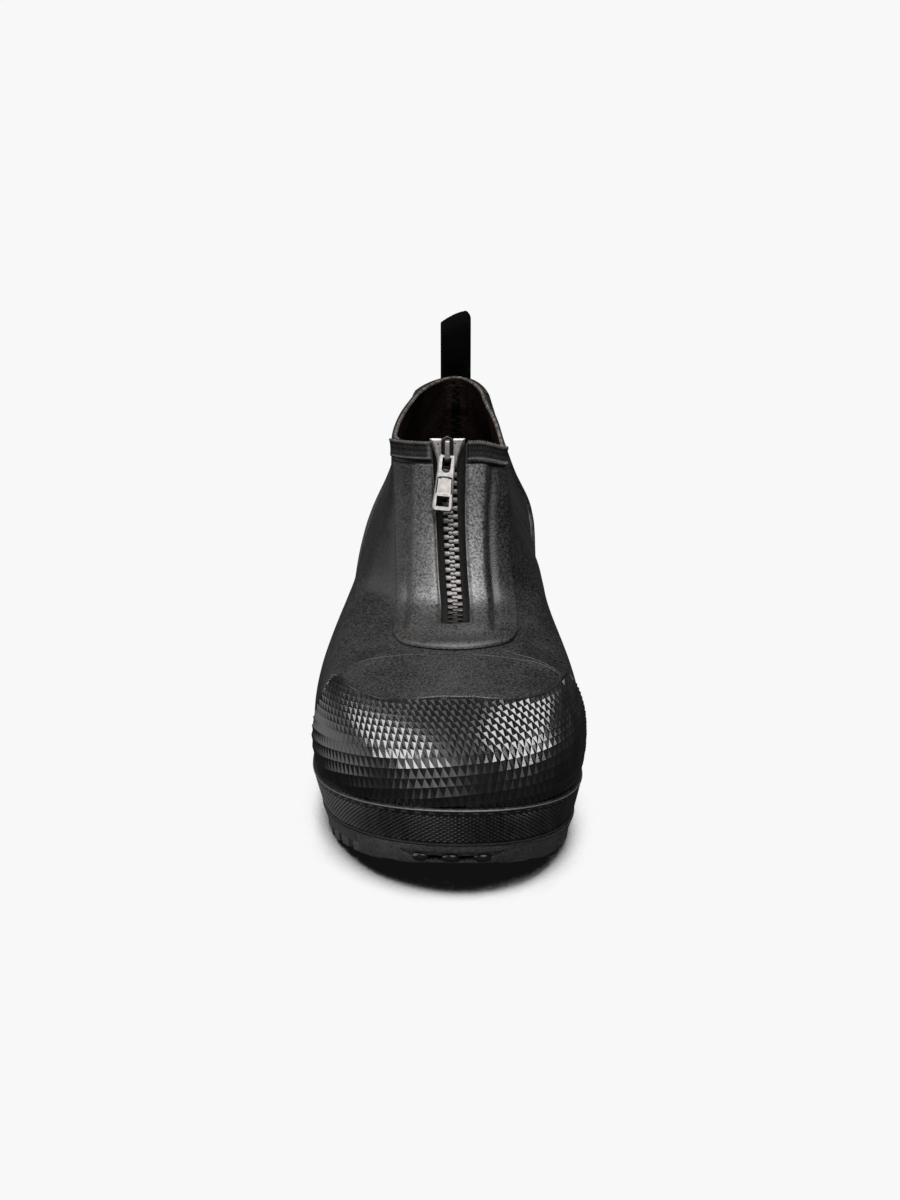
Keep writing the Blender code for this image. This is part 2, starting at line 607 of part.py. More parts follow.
def build_pull_loop():
    lengths = [0.0]
    for a, b in zip(LOOP_PATH, LOOP_PATH[1:]):
        lengths.append(lengths[-1] + math.dist(a, b))
    stops = np.linspace(0.0, lengths[-1], LOOP_STOPS)
    out = smooth(lengths, [p.out for p in LOOP_PATH], stops)
    up = smooth(lengths, [p.up for p in LOOP_PATH], stops)
    slope = np.stack([np.gradient(out), np.gradient(up)], axis=1)
    slope /= np.linalg.norm(slope, axis=1)[:, None]
    across = np.linspace(-LOOP_WIDTH / 2, LOOP_WIDTH / 2, LOOP_COLUMNS)
    grids = []
    for half in (LOOP_THICKNESS / 2, -LOOP_THICKNESS / 2):
        grids.append([[loop_point(x, o + half * s[1], u - half * s[0]) for x in across]
                      for o, u, s in zip(out, up, slope)])
    finish("pull_loop", slab(*grids), WEBBING_BLACK, 0.9)


def sole_x(y, across, grow):
    """Point across the sole's outline at y, from -1 at its left edge to 1 at its right edge."""
    ring = RINGS[0]
    u = (y - ring.front_y) / (ring.back_y - ring.front_y)
    return across * half_width(ring, y, grow) + along(MIDDLE_LINE, "x", y) + ring.lean * (1 - u)


def build_insole():
    grow = -WALL - INSOLE_EASE
    front, back = RINGS[0].front_y - grow, RINGS[0].back_y + grow
    turn = np.linspace(INSOLE_END_TURN, 1.0 - INSOLE_END_TURN, INSOLE_ROWS) * math.pi
    rows = front + (back - front) * (1 - np.cos(turn)) / 2
    columns = np.linspace(-1.0, 1.0, INSOLE_COLUMNS)
    grids = [[[(sole_x(y, a, grow), y, sole_top(y) + height) for a in columns] for y in rows]
             for height in (INSOLE_THICKNESS, INSOLE_FLOAT)]
    finish("insole", slab(*grids), FELT_BROWN, 0.95)


def build_outsole():
    grow = GAP + FOXING_THICKNESS
    front, back = RINGS[0].front_y - grow, RINGS[0].back_y + grow
    rows = [front + edge for edge in SOLE_END_ROWS] + [back - edge for edge in SOLE_END_ROWS]
    rows += WAIST_ROWS
    lugs = {}
    for band in LUG_BANDS:
        for row in range(band.rows):
            start = band.start + row * (band.lug + band.groove)
            rows += [start, start + band.lug]
            lugs[start] = band.even if row % 2 else band.odd
    rows.sort()

    def under(y):
        return front + SOLE_TUCK + (y - front) * (1 - 2 * SOLE_TUCK / (back - front))

    top = [[(sole_x(y, a, grow), y, sole_top(y) - GAP) for a in TREAD_COLUMNS] for y in rows]
    plate = [[(sole_x(under(y), a, grow - SOLE_TUCK), under(y), sole_height("plate", y))
              for a in TREAD_COLUMNS] for y in rows]
    bm, plate_faces = shell(top, plate)
    lug_faces = [plate_faces[rows.index(start), cell] for start, cells in lugs.items() for cell in cells]
    raised = bmesh.ops.extrude_discrete_faces(bm, faces=lug_faces)
    for face in raised["faces"]:
        centre = face.calc_center_median()
        for vert in face.verts:
            vert.co.x = centre.x + (vert.co.x - centre.x) * LUG_TAPER
            vert.co.y = centre.y + (vert.co.y - centre.y) * LUG_TAPER
            vert.co.z = sole_height("tread", vert.co.y)
    finish("outsole", bm, SOLE_RUBBER, 0.6, sharp=30.0)


build_outsole()
build_insole()
build_upper()
build_foxing()
build_toe_cap()
build_heel_counter()
build_zip_panel()
build_collar_bands()
build_zip_tapes()
build_zip_teeth()
build_slider()
build_pull_tab()
build_pull_loop()
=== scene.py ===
"""Looks of the zip-front rubber overshoe for the right foot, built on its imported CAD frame.

Sizes are in millimetres in the shoe's own tables, and piece() brings the points to metres.
"""

import math
from collections import namedtuple

import bmesh
import bpy
import numpy as np
from mathutils import Matrix, Vector


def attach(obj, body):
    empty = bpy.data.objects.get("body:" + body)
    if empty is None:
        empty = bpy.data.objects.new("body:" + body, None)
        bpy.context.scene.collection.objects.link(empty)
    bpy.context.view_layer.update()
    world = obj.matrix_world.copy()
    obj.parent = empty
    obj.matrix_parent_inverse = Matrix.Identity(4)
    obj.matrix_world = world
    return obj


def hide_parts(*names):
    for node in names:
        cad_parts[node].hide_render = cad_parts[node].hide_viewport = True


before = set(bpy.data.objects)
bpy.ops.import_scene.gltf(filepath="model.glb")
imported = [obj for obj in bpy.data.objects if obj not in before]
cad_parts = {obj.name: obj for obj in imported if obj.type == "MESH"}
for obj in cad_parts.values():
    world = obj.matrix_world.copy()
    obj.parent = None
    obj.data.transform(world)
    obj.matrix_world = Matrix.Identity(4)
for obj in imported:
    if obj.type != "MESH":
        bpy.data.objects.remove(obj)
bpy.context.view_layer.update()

# The last, which is the form that the shoe is built on, with the same rings as the CAD part.
# Every piece takes its place from it by side, ring, and reach from the slot's edge to the heel:
# reach -1 is the middle of the front, 0 the slot's edge and 1 the middle of the heel.
MM = 0.001
LEFT, RIGHT = -1, 1
MIDDLE = np.array((-1.0, 156.8, 0.0))
Ring = namedtuple("Ring", "front_y front_z back_y back_z sole ball waist heel "
                          "nose nose_power tail tail_power lean slot")
RINGS = (
    Ring(9.0, 25.6, 303.0, 21.0, 1.0, 51.4, 41.5, 39.5, 82, 2.1, 48, 2.3, -0.6, 6.3),
    Ring(4.5, 43.0, 308.0, 38.0, 1.0, 55.2, 43.5, 41.5, 86, 2.2, 50, 2.3, -1.2, 6.3),
    Ring(6.0, 51.5, 309.5, 46.5, 0.7, 57.3, 44.3, 42.3, 86, 2.3, 50, 2.3, -0.7, 6.3),
    Ring(13.5, 61.8, 310.0, 56.0, 0.4, 57.0, 44.0, 42.2, 80, 2.3, 50, 2.3, -0.5, 6.3),
    Ring(38.0, 71.5, 309.5, 66.0, 0.2, 54.8, 43.6, 41.6, 70, 2.2, 50, 2.3, 0.2, 6.3),
    Ring(84.0, 80.0, 308.0, 80.0, 0.0, 51.2, 42.6, 40.6, 72, 2.0, 50, 2.2, 2.6, 6.3),
    Ring(103.0, 83.6, 306.8, 88.0, 0.0, 50.0, 41.6, 39.4, 66, 2.0, 50, 2.2, 4.0, 6.3),
    Ring(119.0, 87.8, 305.0, 97.0, 0.0, 47.0, 40.0, 37.2, 58, 2.0, 50, 2.1, 4.9, 6.3),
    Ring(131.0, 98.5, 301.5, 112.0, 0.0, 34.0, 35.0, 30.8, 38, 2.3, 48, 2.1, 4.4, 6.3),
    Ring(146.0, 122.0, 297.5, 131.0, 0.0, 26.6, 27.6, 24.0, 22, 2.6, 46, 2.1, 3.5, 6.5),
    Ring(159.0, 152.0, 295.0, 150.5, 0.0, 25.8, 25.2, 17.6, 14, 2.6, 42, 2.1, 2.9, 7.8),
)
PANEL_FOOT, ZIP_FOOT, COLLAR = 5.0, 6.0, 10.0
SoleStation = namedtuple("SoleStation", "y top plate tread")
SOLE = (
    SoleStation(0, 25.6, 20.4, 17.2),
    SoleStation(30, 18.8, 12.4, 8.4),
    SoleStation(60, 13.2, 6.4, 2.4),
    SoleStation(82, 10.8, 4.0, 0.0),
    SoleStation(125, 9.9, 4.0, 0.0),
    SoleStation(165, 13.0, 6.4, 3.4),
    SoleStation(205, 17.4, 10.6, 8.4),
    SoleStation(211, 17.9, 5.0, 0.0),
    SoleStation(270, 20.5, 5.0, 0.0),
    SoleStation(312, 21.0, 5.0, 0.0),
)
MIDDLE_LINE = ((0, 7.0), (50, 2.0), (95, -1.2), (130, -3.0), (180, -3.2), (230, -2.4), (310, 4.2))
WIDTH_KNOTS = (35.0, 95.0, 185.0, 255.0)
RING_STEP = 0.01
RING_MARKS = np.arange(-10, 1011) * RING_STEP
REACH_MARKS = np.concatenate([np.linspace(-1, 0, 41), np.linspace(0, 1, 501)[1:]])


def eased(start, stop, margin, count):
    """Places from start to stop, closer together towards both ends."""
    return start + (stop - start) * (1 - np.cos(np.linspace(margin, math.pi - margin, count))) / 2


def smooth(knots, values, at):
    """Smooth curve through values at the knots, straight past both ends."""
    knots = np.asarray(knots, float)
    values = np.asarray(values, float)
    at = np.asarray(at, float)
    slopes = np.gradient(values, knots)
    i = np.clip(np.searchsorted(knots, at, side="right") - 1, 0, len(knots) - 2)
    step = knots[i + 1] - knots[i]
    t = np.clip((at - knots[i]) / step, 0.0, 1.0)
    value = (1 + 2 * t) * (1 - t) ** 2 * values[i] + t * t * (3 - 2 * t) * values[i + 1]
    value = value + t * (1 - t) * step * ((1 - t) * slopes[i] - t * slopes[i + 1])
    before = np.minimum(at - knots[0], 0.0) * slopes[0]
    after = np.maximum(at - knots[-1], 0.0) * slopes[-1]
    return value + before + after


def through(table, at):
    """Smooth curve through the pairs of a table, level past its ends."""
    knots, values = zip(*table)
    return smooth(knots, values, np.clip(at, knots[0], knots[-1]))


def sole_top(y):
    return through([(row.y, row.top) for row in SOLE], y)


def swell(t, power):
    """Rounded end: nothing at t = 0, full from t = 1."""
    t = np.clip(t, 0.0, 1.0)
    return (1 - (1 - t) ** power) ** (1 / power)


def half_width(ring, y, grow=0.0):
    """Half width of a ring at y, or of the same outline grown all round."""
    widths = (ring.ball, ring.ball, ring.waist, ring.heel)
    shares = [smooth(WIDTH_KNOTS, row, np.maximum(y, WIDTH_KNOTS[0])) for row in np.eye(4)]
    plain = sum((width + grow) * share for width, share in zip(widths, shares))
    nose = swell((y - ring.front_y + grow) / ring.nose, ring.nose_power)
    tail = swell((ring.back_y + grow - y) / ring.tail, ring.tail_power)
    return plain * nose * tail


def unit(vectors):
    return vectors / np.linalg.norm(vectors, axis=-1, keepdims=True)


def lengths(points):
    """Distance gone at each point of a line."""
    steps = np.linalg.norm(np.diff(points, axis=0), axis=1)
    return np.concatenate([[0.0], np.cumsum(steps)])


TURN = eased(0.0, 1.0, 0.0, 500)
levels = Ring(*[smooth(range(len(RINGS)), column, RING_MARKS)[:, None] for column in zip(*RINGS)])
level_y = levels.front_y + (levels.back_y - levels.front_y) * TURN
level_width = half_width(levels, level_y)
wave = sole_top(level_y) - (SOLE[0].top + (SOLE[-1].top - SOLE[0].top) * TURN)
level_z = levels.front_z + (levels.back_z - levels.front_z) * TURN + levels.sole * wave
level_x = through(MIDDLE_LINE, level_y) + levels.lean * (1 - TURN)
LAST, FRONT, SPAN, NORMALS = [], [], [], []
for side in (LEFT, RIGHT):
    curves = np.stack([level_x + side * level_width, level_y, level_z], axis=-1)
    gone = np.array([lengths(curve) for curve in curves])
    third = len(TURN) // 3
    start = np.array([np.interp(slot, width[:third], way[:third])
                      for slot, width, way in zip(levels.slot[:, 0], level_width, gone)])
    span = gone[:, -1] - start
    at = start[:, None] * (1 + np.minimum(REACH_MARKS, 0)) + span[:, None] * np.maximum(REACH_MARKS, 0)
    table = np.stack([[np.interp(a, way, curve[:, axis]) for a, way, curve in zip(at, gone, curves)]
                      for axis in range(3)], axis=-1)
    LAST.append(table)
    FRONT.append(start)
    SPAN.append(span)
    up, back = np.gradient(table, axis=0), np.gradient(table, REACH_MARKS, axis=1)
    NORMALS.append(unit(np.cross(up, back) * -side))
for end in (0, -1):
    shared = unit(NORMALS[0][:, end] + NORMALS[1][:, end])
    NORMALS[0][:, end] = shared
    NORMALS[1][:, end] = shared
LAST = np.stack(LAST)
NORMALS = np.stack(NORMALS)


def on_last(side, ring, reach, height=0.0, level=False):
    """Points that stand a height off the last, measured level with the floor if asked."""
    side, ring, reach, height = np.broadcast_arrays(side, ring, reach, height)
    s = (side > 0).astype(int)
    k = (ring - RING_MARKS[0]) / RING_STEP
    q = np.interp(reach, REACH_MARKS, np.arange(len(REACH_MARKS)))
    i = np.clip(k.astype(int), 0, len(RING_MARKS) - 2)
    j = np.clip(q.astype(int), 0, len(REACH_MARKS) - 2)
    a, b = (k - i)[..., None], (q - j)[..., None]

    def read(table):
        low = table[s, i, j] * (1 - b) + table[s, i, j + 1] * b
        high = table[s, i + 1, j] * (1 - b) + table[s, i + 1, j + 1] * b
        return low * (1 - a) + high * a

    normal = read(NORMALS)
    if level:
        normal = normal * (1.0, 1.0, 0.0)
    return read(LAST) + height[..., None] * unit(normal)


def ramp(low, high, at):
    """Soft step from 0 at low to 1 at high."""
    t = np.clip((at - low) / (high - low), 0.0, 1.0)
    return t * t * (3 - 2 * t)


# The collar's right front corner has sagged a little in use
CORNER_DROP = 4.0
sag = ramp(0.03, 0.13, REACH_MARKS) * (1 - ramp(0.16, 0.45, REACH_MARKS))
LAST[1, :, :, 2] -= CORNER_DROP * ramp(9.0, 10.0, RING_MARKS)[:, None] * sag


def per_side(tables, side, ring):
    """Value at a ring in the table of its side."""
    left, right = (np.interp(ring, RING_MARKS, table) for table in tables)
    return np.where(side > 0, right, left)


def reach_at(side, ring, arc):
    """Reach that lies an arc length behind the slot's edge, or ahead of it for a negative one."""
    side, ring, arc = np.broadcast_arrays(side, ring, arc)
    return arc / np.where(arc >= 0, per_side(SPAN, side, ring), per_side(FRONT, side, ring))


def from_front(ring, away):
    """Side and reach of a signed distance from the middle of the front, to the right if positive."""
    ring, away = np.broadcast_arrays(ring, away)
    side = np.where(away > 0, RIGHT, LEFT)
    return side, reach_at(side, ring, np.abs(away) - per_side(FRONT, side, ring))


def rows_along(start, stop, step, reach=0.0):
    """Ring positions evenly spaced along the last, from one ring to another."""
    rings = np.linspace(start, stop, 400)
    way = lengths(on_last(LEFT, rings, reach))
    count = max(2, round(way[-1] / step) + 1)
    return np.interp(np.linspace(0, way[-1], count), way, rings)


def to_right_front(reaches):
    """Sides and reaches of columns from the left front round the heel to the right front."""
    count = reaches.shape[-1]
    sides = np.repeat((LEFT, RIGHT), (count, count - 1))
    return sides, np.concatenate([reaches, reaches[..., -2::-1]], axis=-1)


def round_the_last(reaches):
    """The same all round, less the last column, which would lie on the first one."""
    sides, reaches = to_right_front(reaches)
    return sides[:-1], reaches[:-1]


# The upper is a moulded shell of thin matt rubber with a fine speckled grain, slit for the zip.
# It keeps the soft folds of being pulled over a shoe: troughs and ridges along lines on the last.
Fold = namedtuple("Fold", "side height width path")
FOLDS = (
    Fold(LEFT, -0.9, 5.0, ((4.30, 0.20), (4.62, 0.15), (4.9, 0.10))),
    Fold(LEFT, 0.7, 4.5, ((4.35, 0.17), (4.6, 0.125), (4.85, 0.086))),
    Fold(RIGHT, -0.9, 5.0, ((4.25, 0.21), (4.55, 0.16), (4.9, 0.10))),
    Fold(RIGHT, 0.8, 4.5, ((4.0, 0.195), (4.45, 0.14), (4.75, 0.087))),
    Fold(LEFT, 1.2, 5.0, ((9.4, 0.12), (8.3, 0.30), (6.9, 0.42), (5.6, 0.46))),
    Fold(LEFT, -1.3, 5.0, ((9.2, 0.17), (8.2, 0.36), (6.9, 0.47), (5.4, 0.49))),
    Fold(RIGHT, 1.2, 5.0, ((9.4, 0.12), (8.3, 0.30), (7.5, 0.43), (6.2, 0.50))),
    Fold(RIGHT, -1.3, 5.0, ((9.2, 0.17), (8.2, 0.37), (7.3, 0.49), (6.0, 0.55))),
    Fold(LEFT, -1.0, 6.0, ((8.6, 0.16), (7.6, 0.17), (6.4, 0.17))),
    Fold(RIGHT, -1.0, 6.0, ((8.6, 0.17), (7.6, 0.16), (6.4, 0.15))),
)
FOLD_SAMPLES = 40
UPPER_SKIN = 1.0
TROUGH_LIMIT = 0.95
UNEVEN_ACROSS, UNEVEN_UP = 0.10, 0.08


def hump(away, width):
    """Smooth hump, 1 in its middle and gone a few widths away."""
    return np.exp(-((away / width) ** 2))


def relief(side, ring, reach):
    """Height of the soft folds and of the rubber's slight unevenness."""
    ground = on_last(side, ring, reach)
    x, y, z = ground[..., 0], ground[..., 1], ground[..., 2]
    total = UNEVEN_ACROSS * np.sin(x / 7.3 + 0.6) * np.sin(y / 9.1)
    total = total + UNEVEN_UP * np.sin(z / 6.7 + x / 11.0)
    marks = np.linspace(0, 1, FOLD_SAMPLES)
    for fold in FOLDS:
        stops = np.linspace(0, 1, len(fold.path))
        rings, reaches = (np.interp(marks, stops, column) for column in zip(*fold.path))
        nearest = np.full(x.shape, np.inf)
        strength = np.zeros(x.shape)
        for point, mark in zip(on_last(fold.side, rings, reaches), marks):
            away = np.linalg.norm(ground - point, axis=-1)
            strength = np.where(away < nearest, math.sin(math.pi * mark) ** 0.6, strength)
            nearest = np.minimum(nearest, away)
        total = total + fold.height * strength * hump(nearest, fold.width)
    return np.where(total < 0, TROUGH_LIMIT * np.tanh(total / TROUGH_LIMIT), total)


def on_upper(side, ring, reach, height=0.0):
    """Points that stand a height off the folded upper."""
    return on_last(side, ring, reach, height + relief(side, ring, reach))


def cells(rows, columns, wrap=False):
    """Numbers of the points at the four corners of each cell of a grid."""
    i, j = np.mgrid[0:rows - 1, 0:columns if wrap else columns - 1]
    n = (j + 1) % columns
    return i * columns + j, i * columns + n, (i + 1) * columns + n, (i + 1) * columns + j


def solid(outer, inner, wrap=False, present=None, pyramids=False):
    """Closed mesh between two grids: its points, faces, and each face's slot, 0 outer, 1 inner, 2 walls."""
    rows, columns = outer.shape[:2]
    a, b, c, d = cells(rows, columns, wrap)
    across = a.shape[1]
    kept = np.ones(a.shape, bool) if present is None else present
    around = np.zeros((rows + 1, across + 2), bool)
    around[1:-1, 1:-1] = kept
    if wrap:
        around[1:-1, 0] = kept[:, -1]
        around[1:-1, -1] = kept[:, 0]
    under = rows * columns
    if pyramids:
        even = (np.indices(a.shape).sum(axis=0) % 2 == 0)[..., None]
        first = np.where(even, np.stack([a, b, c], -1), np.stack([a, b, d], -1))
        second = np.where(even, np.stack([a, c, d], -1), np.stack([b, c, d], -1))
        outer_faces = np.concatenate([first[kept], second[kept]])
    else:
        outer_faces = np.stack([a, b, c, d], -1)[kept]
    inner_faces = np.stack([d, c, b, a], -1)[kept] + under
    walls = []
    for u, v, di, dj in ((a, b, -1, 0), (b, c, 0, 1), (c, d, 1, 0), (d, a, 0, -1)):
        edge = kept & ~around[1 + di:rows + di, 1 + dj:across + 1 + dj]
        walls.append(np.stack([v[edge], u[edge], u[edge] + under, v[edge] + under], -1))
    walls = np.concatenate(walls)
    points = np.concatenate([outer.reshape(-1, 3), inner.reshape(-1, 3)])
    faces = outer_faces.tolist() + inner_faces.tolist() + walls.tolist()
    slots = [0] * len(outer_faces) + [1] * len(inner_faces) + [2] * len(walls)
    return points, faces, slots


def sheet(side, ring, reach, over, under, level=False, **kind):
    """Closed sheet on the last, between two heights."""
    return solid(on_last(side, ring, reach, over, level), on_last(side, ring, reach, under, level), **kind)


def zip_gap(rings, reaches):
    """Cells of a grid round the last that the zip leaves open."""
    ahead = np.minimum(reaches, np.roll(reaches, -1)) < 0
    return (rings[1:] > ZIP_FOOT + RING_STEP / 2) & ahead


WELD = 1e-6


def piece(name, shape, materials, body="shoe", sharp=40.0, lay=None, place=None, stands_for=()):
    """Object in the part's frame from a shape in millimetres, riding on a body.

    Each point carries its row of lay, and a sheet's inner face carries the same rows again.
    """
    points, faces, slots = shape if len(shape) == 3 else (*shape, None)
    mesh = bpy.data.meshes.new(name)
    here = (points - MIDDLE if place is None else points) * MM
    mesh.from_pydata(here.tolist(), [], faces)
    if lay is not None:
        carried = mesh.attributes.new("lay", "FLOAT_VECTOR", "POINT")
        rows = np.resize(lay, (len(points), 3))
        carried.data.foreach_set("vector", rows.astype(np.float32).ravel())
    if slots is not None:
        mesh.polygons.foreach_set("material_index", np.minimum(slots, len(materials) - 1))
    bm = bmesh.new()
    bm.from_mesh(mesh)
    bmesh.ops.delete(bm, geom=[vert for vert in bm.verts if not vert.link_faces], context="VERTS")
    bmesh.ops.remove_doubles(bm, verts=bm.verts, dist=WELD)
    bmesh.ops.dissolve_degenerate(bm, edges=bm.edges, dist=WELD)
    bmesh.ops.recalc_face_normals(bm, faces=bm.faces)
    bm.to_mesh(mesh)
    bm.free()
    if place is not None:
        mesh.transform(place)
    mesh.shade_smooth()
    mesh.set_sharp_from_angle(angle=math.radians(sharp))
    for material in materials:
        mesh.materials.append(material)
    made = bpy.data.objects.new(name, mesh)
    bpy.context.scene.collection.objects.link(made)
    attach(made, body)
    if stands_for:
        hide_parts(*stands_for)


class Wire:
    """A shader's output that takes part in arithmetic, in the tree of one material."""

    def __init__(self, tree, socket=None):
        self.tree = tree
        self.socket = socket

    def node(self, kind, values=(), output=0, **settings):
        """Output of a new node with these settings, and socket values or links."""
        made = self.tree.nodes.new("ShaderNode" + kind)
        for name, value in settings.items():
            setattr(made, name, value)
        for name, value in dict(values).items():
            self.feed(made.inputs[name], value)
        return Wire(self.tree, made.outputs[output])

    def feed(self, target, value):
        if isinstance(value, Wire):
            self.tree.links.new(value.socket, target)
        else:
            target.default_value = value

    def math(self, operation, *values):
        return self.node("Math", enumerate(values), operation=operation)

    def __add__(self, other):
        return self.math("ADD", self, other)

    def __sub__(self, other):
        return self.math("SUBTRACT", self, other)

    def __mul__(self, other):
        return self.math("MULTIPLY", self, other)

    __radd__ = __add__
    __rmul__ = __mul__

    def step(self, low, high):
        """Soft step from 0 at low to 1 at high."""
        return self.node("MapRange", {"Value": self, "From Min": low, "From Max": high},
                         interpolation_type="SMOOTHSTEP")

    def sine(self, scale):
        return self.math("SINE", self * scale)

    def mix(self, dark, light):
        """Colour between two, by this wire."""
        first, second = (colour if isinstance(colour, Wire) else (*colour, 1.0) for colour in (dark, light))
        return self.node("Mix", {"Factor": self, 6: first, 7: second}, output=2, data_type="RGBA")

    def place(self):
        """Where a point lies on its piece, in metres."""
        return self.node("TexCoord", output="Object")

    def lay(self, axis):
        """One number of the three that a mesh carries at each point."""
        carried = self.node("Attribute", output="Vector", attribute_name="lay")
        return self.node("SeparateXYZ", {0: carried}, output=axis)

    def noise(self, where, scale, detail=2.0, rough=0.5):
        return self.node("TexNoise", {"Vector": where, "Scale": scale, "Detail": detail, "Roughness": rough})

    def bump(self, height, strength, distance):
        return self.node("Bump", {"Height": height, "Strength": strength, "Distance": distance})


def material(name, **constants):
    """New material, the wire that starts its maths, and its shader's inputs by name."""
    made = bpy.data.materials.new(name)
    made.use_nodes = True
    shader = made.node_tree.nodes["Principled BSDF"]
    for socket, value in constants.items():
        shader.inputs[socket.replace("_", " ")].default_value = value
    return made, Wire(made.node_tree), shader.inputs


def matt_rubber(name, dark, light, roughness, grain, scale, rubbed=0.0):
    """Black rubber whose speckled grain shows in its colour, gloss and bump, polished where it is rubbed."""
    made, wire, inputs = material(name, Specular_IOR_Level=0.42, Coat_Roughness=0.48)
    where = wire.place()
    speckle = wire.noise(where, scale, 3.0, 0.7)
    cloud = wire.noise(where, 60.0, 3.0, 0.6)
    wire.feed(inputs["Base Color"], (speckle * 0.8 + cloud * 0.2).step(0.38, 0.64).mix(dark, light))
    wire.feed(inputs["Roughness"], roughness + (speckle - 0.5) * 0.6 + (cloud - 0.5) * 0.12)
    wire.feed(inputs["Normal"], wire.bump(speckle + cloud * 0.6, grain, 0.0004))
    if rubbed:
        wire.feed(inputs["Coat Weight"], wire.lay(2) * rubbed * speckle.step(0.3, 0.7) * 1.6)
    return made


EDGE_DARK, EDGE_LIGHT = (0.028, 0.024, 0.0215), (0.125, 0.109, 0.099)
upper_rubber = matt_rubber("upper_rubber", (0.0015, 0.0015, 0.0018), (0.020, 0.0197, 0.020), 0.42, 0.5, 950.0)
edge_colour, wire, inputs = material("cut_edge", Roughness=0.85, Specular_IOR_Level=0.2)
where = wire.place()
stain = wire.noise(where, 500.0, 3.0).step(0.35, 0.7)
wire.feed(inputs["Base Color"], stain.mix(EDGE_DARK, EDGE_LIGHT))
wire.feed(inputs["Normal"], wire.bump(wire.noise(where, 900.0), 0.6, 0.0004))

UPPER_COLUMNS = 118
UPPER_FRONT_COLUMNS = 4
rings = np.concatenate([rows_along(0, 1, 3.0)[:-1], rows_along(1, ZIP_FOOT, 1.6)[:-1],
                        rows_along(ZIP_FOOT, COLLAR, 1.6)])[:, None]
reaches = np.concatenate([np.linspace(-1, 0, UPPER_FRONT_COLUMNS + 1)[:-1],
                          np.linspace(0, 1, UPPER_COLUMNS) ** 1.15])
sides, reaches = round_the_last(reaches)
piece("rubber_upper",
      sheet(sides, rings, reaches, relief(sides, rings, reaches), -UPPER_SKIN, wrap=True,
            present=~zip_gap(rings, reaches)),
      [upper_rubber], stands_for=("upper",))

# The lining is brown felted jersey, bonded to the inside of the rubber and cut off level with it.
# It is open down the front with the zip, and its cut edge is paler than its face.
LINING_DEPTHS = (-1.05, -2.3)
FELT_DARK, FELT_LIGHT = (0.0045, 0.0031, 0.0026), (0.026, 0.0178, 0.0145)
felt, wire, inputs = material("felt", Roughness=0.95, Specular_IOR_Level=0.0)
where = wire.place()
fibre = wire.noise(where, 700.0, 4.0, 0.7)
cloud = wire.noise(where, 90.0, 3.0)
nap = (fibre * 0.6 + cloud * 0.4).step(0.3, 0.7)
wire.feed(inputs["Base Color"], nap.mix(FELT_DARK, FELT_LIGHT))
wire.feed(inputs["Normal"], wire.bump(fibre, 0.8, 0.0008))
rings = np.concatenate([rows_along(0.05, ZIP_FOOT, 4.0)[:-1], rows_along(ZIP_FOOT, COLLAR, 3.0)])[:, None]
sides, reaches = round_the_last(np.concatenate([(-1.0, -0.5), np.linspace(0, 1, 60)]))
piece("lining", sheet(sides, rings, reaches, *LINING_DEPTHS, wrap=True, present=~zip_gap(rings, reaches)),
      [edge_colour, felt, edge_colour])

# The rim is the lining's raw edge, rolled over the top of the rubber and cemented there.
# It stands as a pale line round the collar behind the bands.
RIM_RADIUS = 0.7
RIM_HEIGHT = -1.5
RIM_START = 17.0
RIM_PLACES = 240
RIM_RIPPLE = 0.08


def tube(path, radius, sides=6):
    """Thread, bead or wire along a path: its points and faces."""
    path = np.asarray(path, float)
    radius = np.broadcast_to(radius, len(path))[:, None, None]
    ahead = unit(np.gradient(path, axis=0))
    spare = np.where(np.abs(ahead[:, 2:]) > 0.8, (1.0, 0.0, 0.0), (0.0, 0.0, 1.0))
    first = unit(np.cross(ahead, spare))[:, None]
    second = np.cross(ahead, first[:, 0])[:, None]
    turn = np.linspace(0, 2 * math.pi, sides, endpoint=False)[None, :, None]
    points = path[:, None] + radius * (np.cos(turn) * first + np.sin(turn) * second)
    quads = np.stack(cells(len(path), sides, wrap=True), -1)
    last = (len(path) - 1) * sides
    caps = [list(range(sides)), list(range(last, last + sides))]
    return points.reshape(-1, 3), quads.reshape(-1, 4).tolist() + caps


start = reach_at(LEFT, COLLAR, RIM_START)
sides, reaches = to_right_front(np.linspace(start, 1, RIM_PLACES))
ripple = RIM_RIPPLE * np.sin(np.arange(len(reaches)) * 0.9)
rim = on_last(sides, COLLAR, reaches, RIM_HEIGHT + ripple)
piece("rolled_rim", tube(rim, RIM_RADIUS, 10), [edge_colour], sharp=80.0)

# The layer edges: the rubber is laid up on the last from overlapping sheets before it is cured.
# Their cut edges show as fine raised lines over the vamp and down both quarters.
EDGE_RADIUS = 0.42
EDGE_LIFT = 0.10
EDGE_PLACES = 90
LAYER_EDGES = (
    (LEFT, ((4.35, 0.169), (4.6, 0.12), (4.8, 0.066), (4.9, 0.02))),
    (RIGHT, ((4.9, 0.005), (4.8, 0.05), (4.6, 0.105), (4.4, 0.142), (4.1, 0.179))),
    (RIGHT, ((4.9, 0.06), (4.75, 0.087), (4.45, 0.14), (4.0, 0.195))),
    (LEFT, ((9.5, 0.114), (8.3, 0.35), (6.9, 0.467), (5.4, 0.489))),
    (RIGHT, ((9.5, 0.12), (8.3, 0.34), (7.5, 0.45), (6.6, 0.50))),
    (LEFT, ((9.5, 0.15), (8.4, 0.39), (7.0, 0.50), (5.4, 0.53))),
    (RIGHT, ((9.5, 0.155), (8.4, 0.38), (7.5, 0.50), (6.6, 0.55))),
)


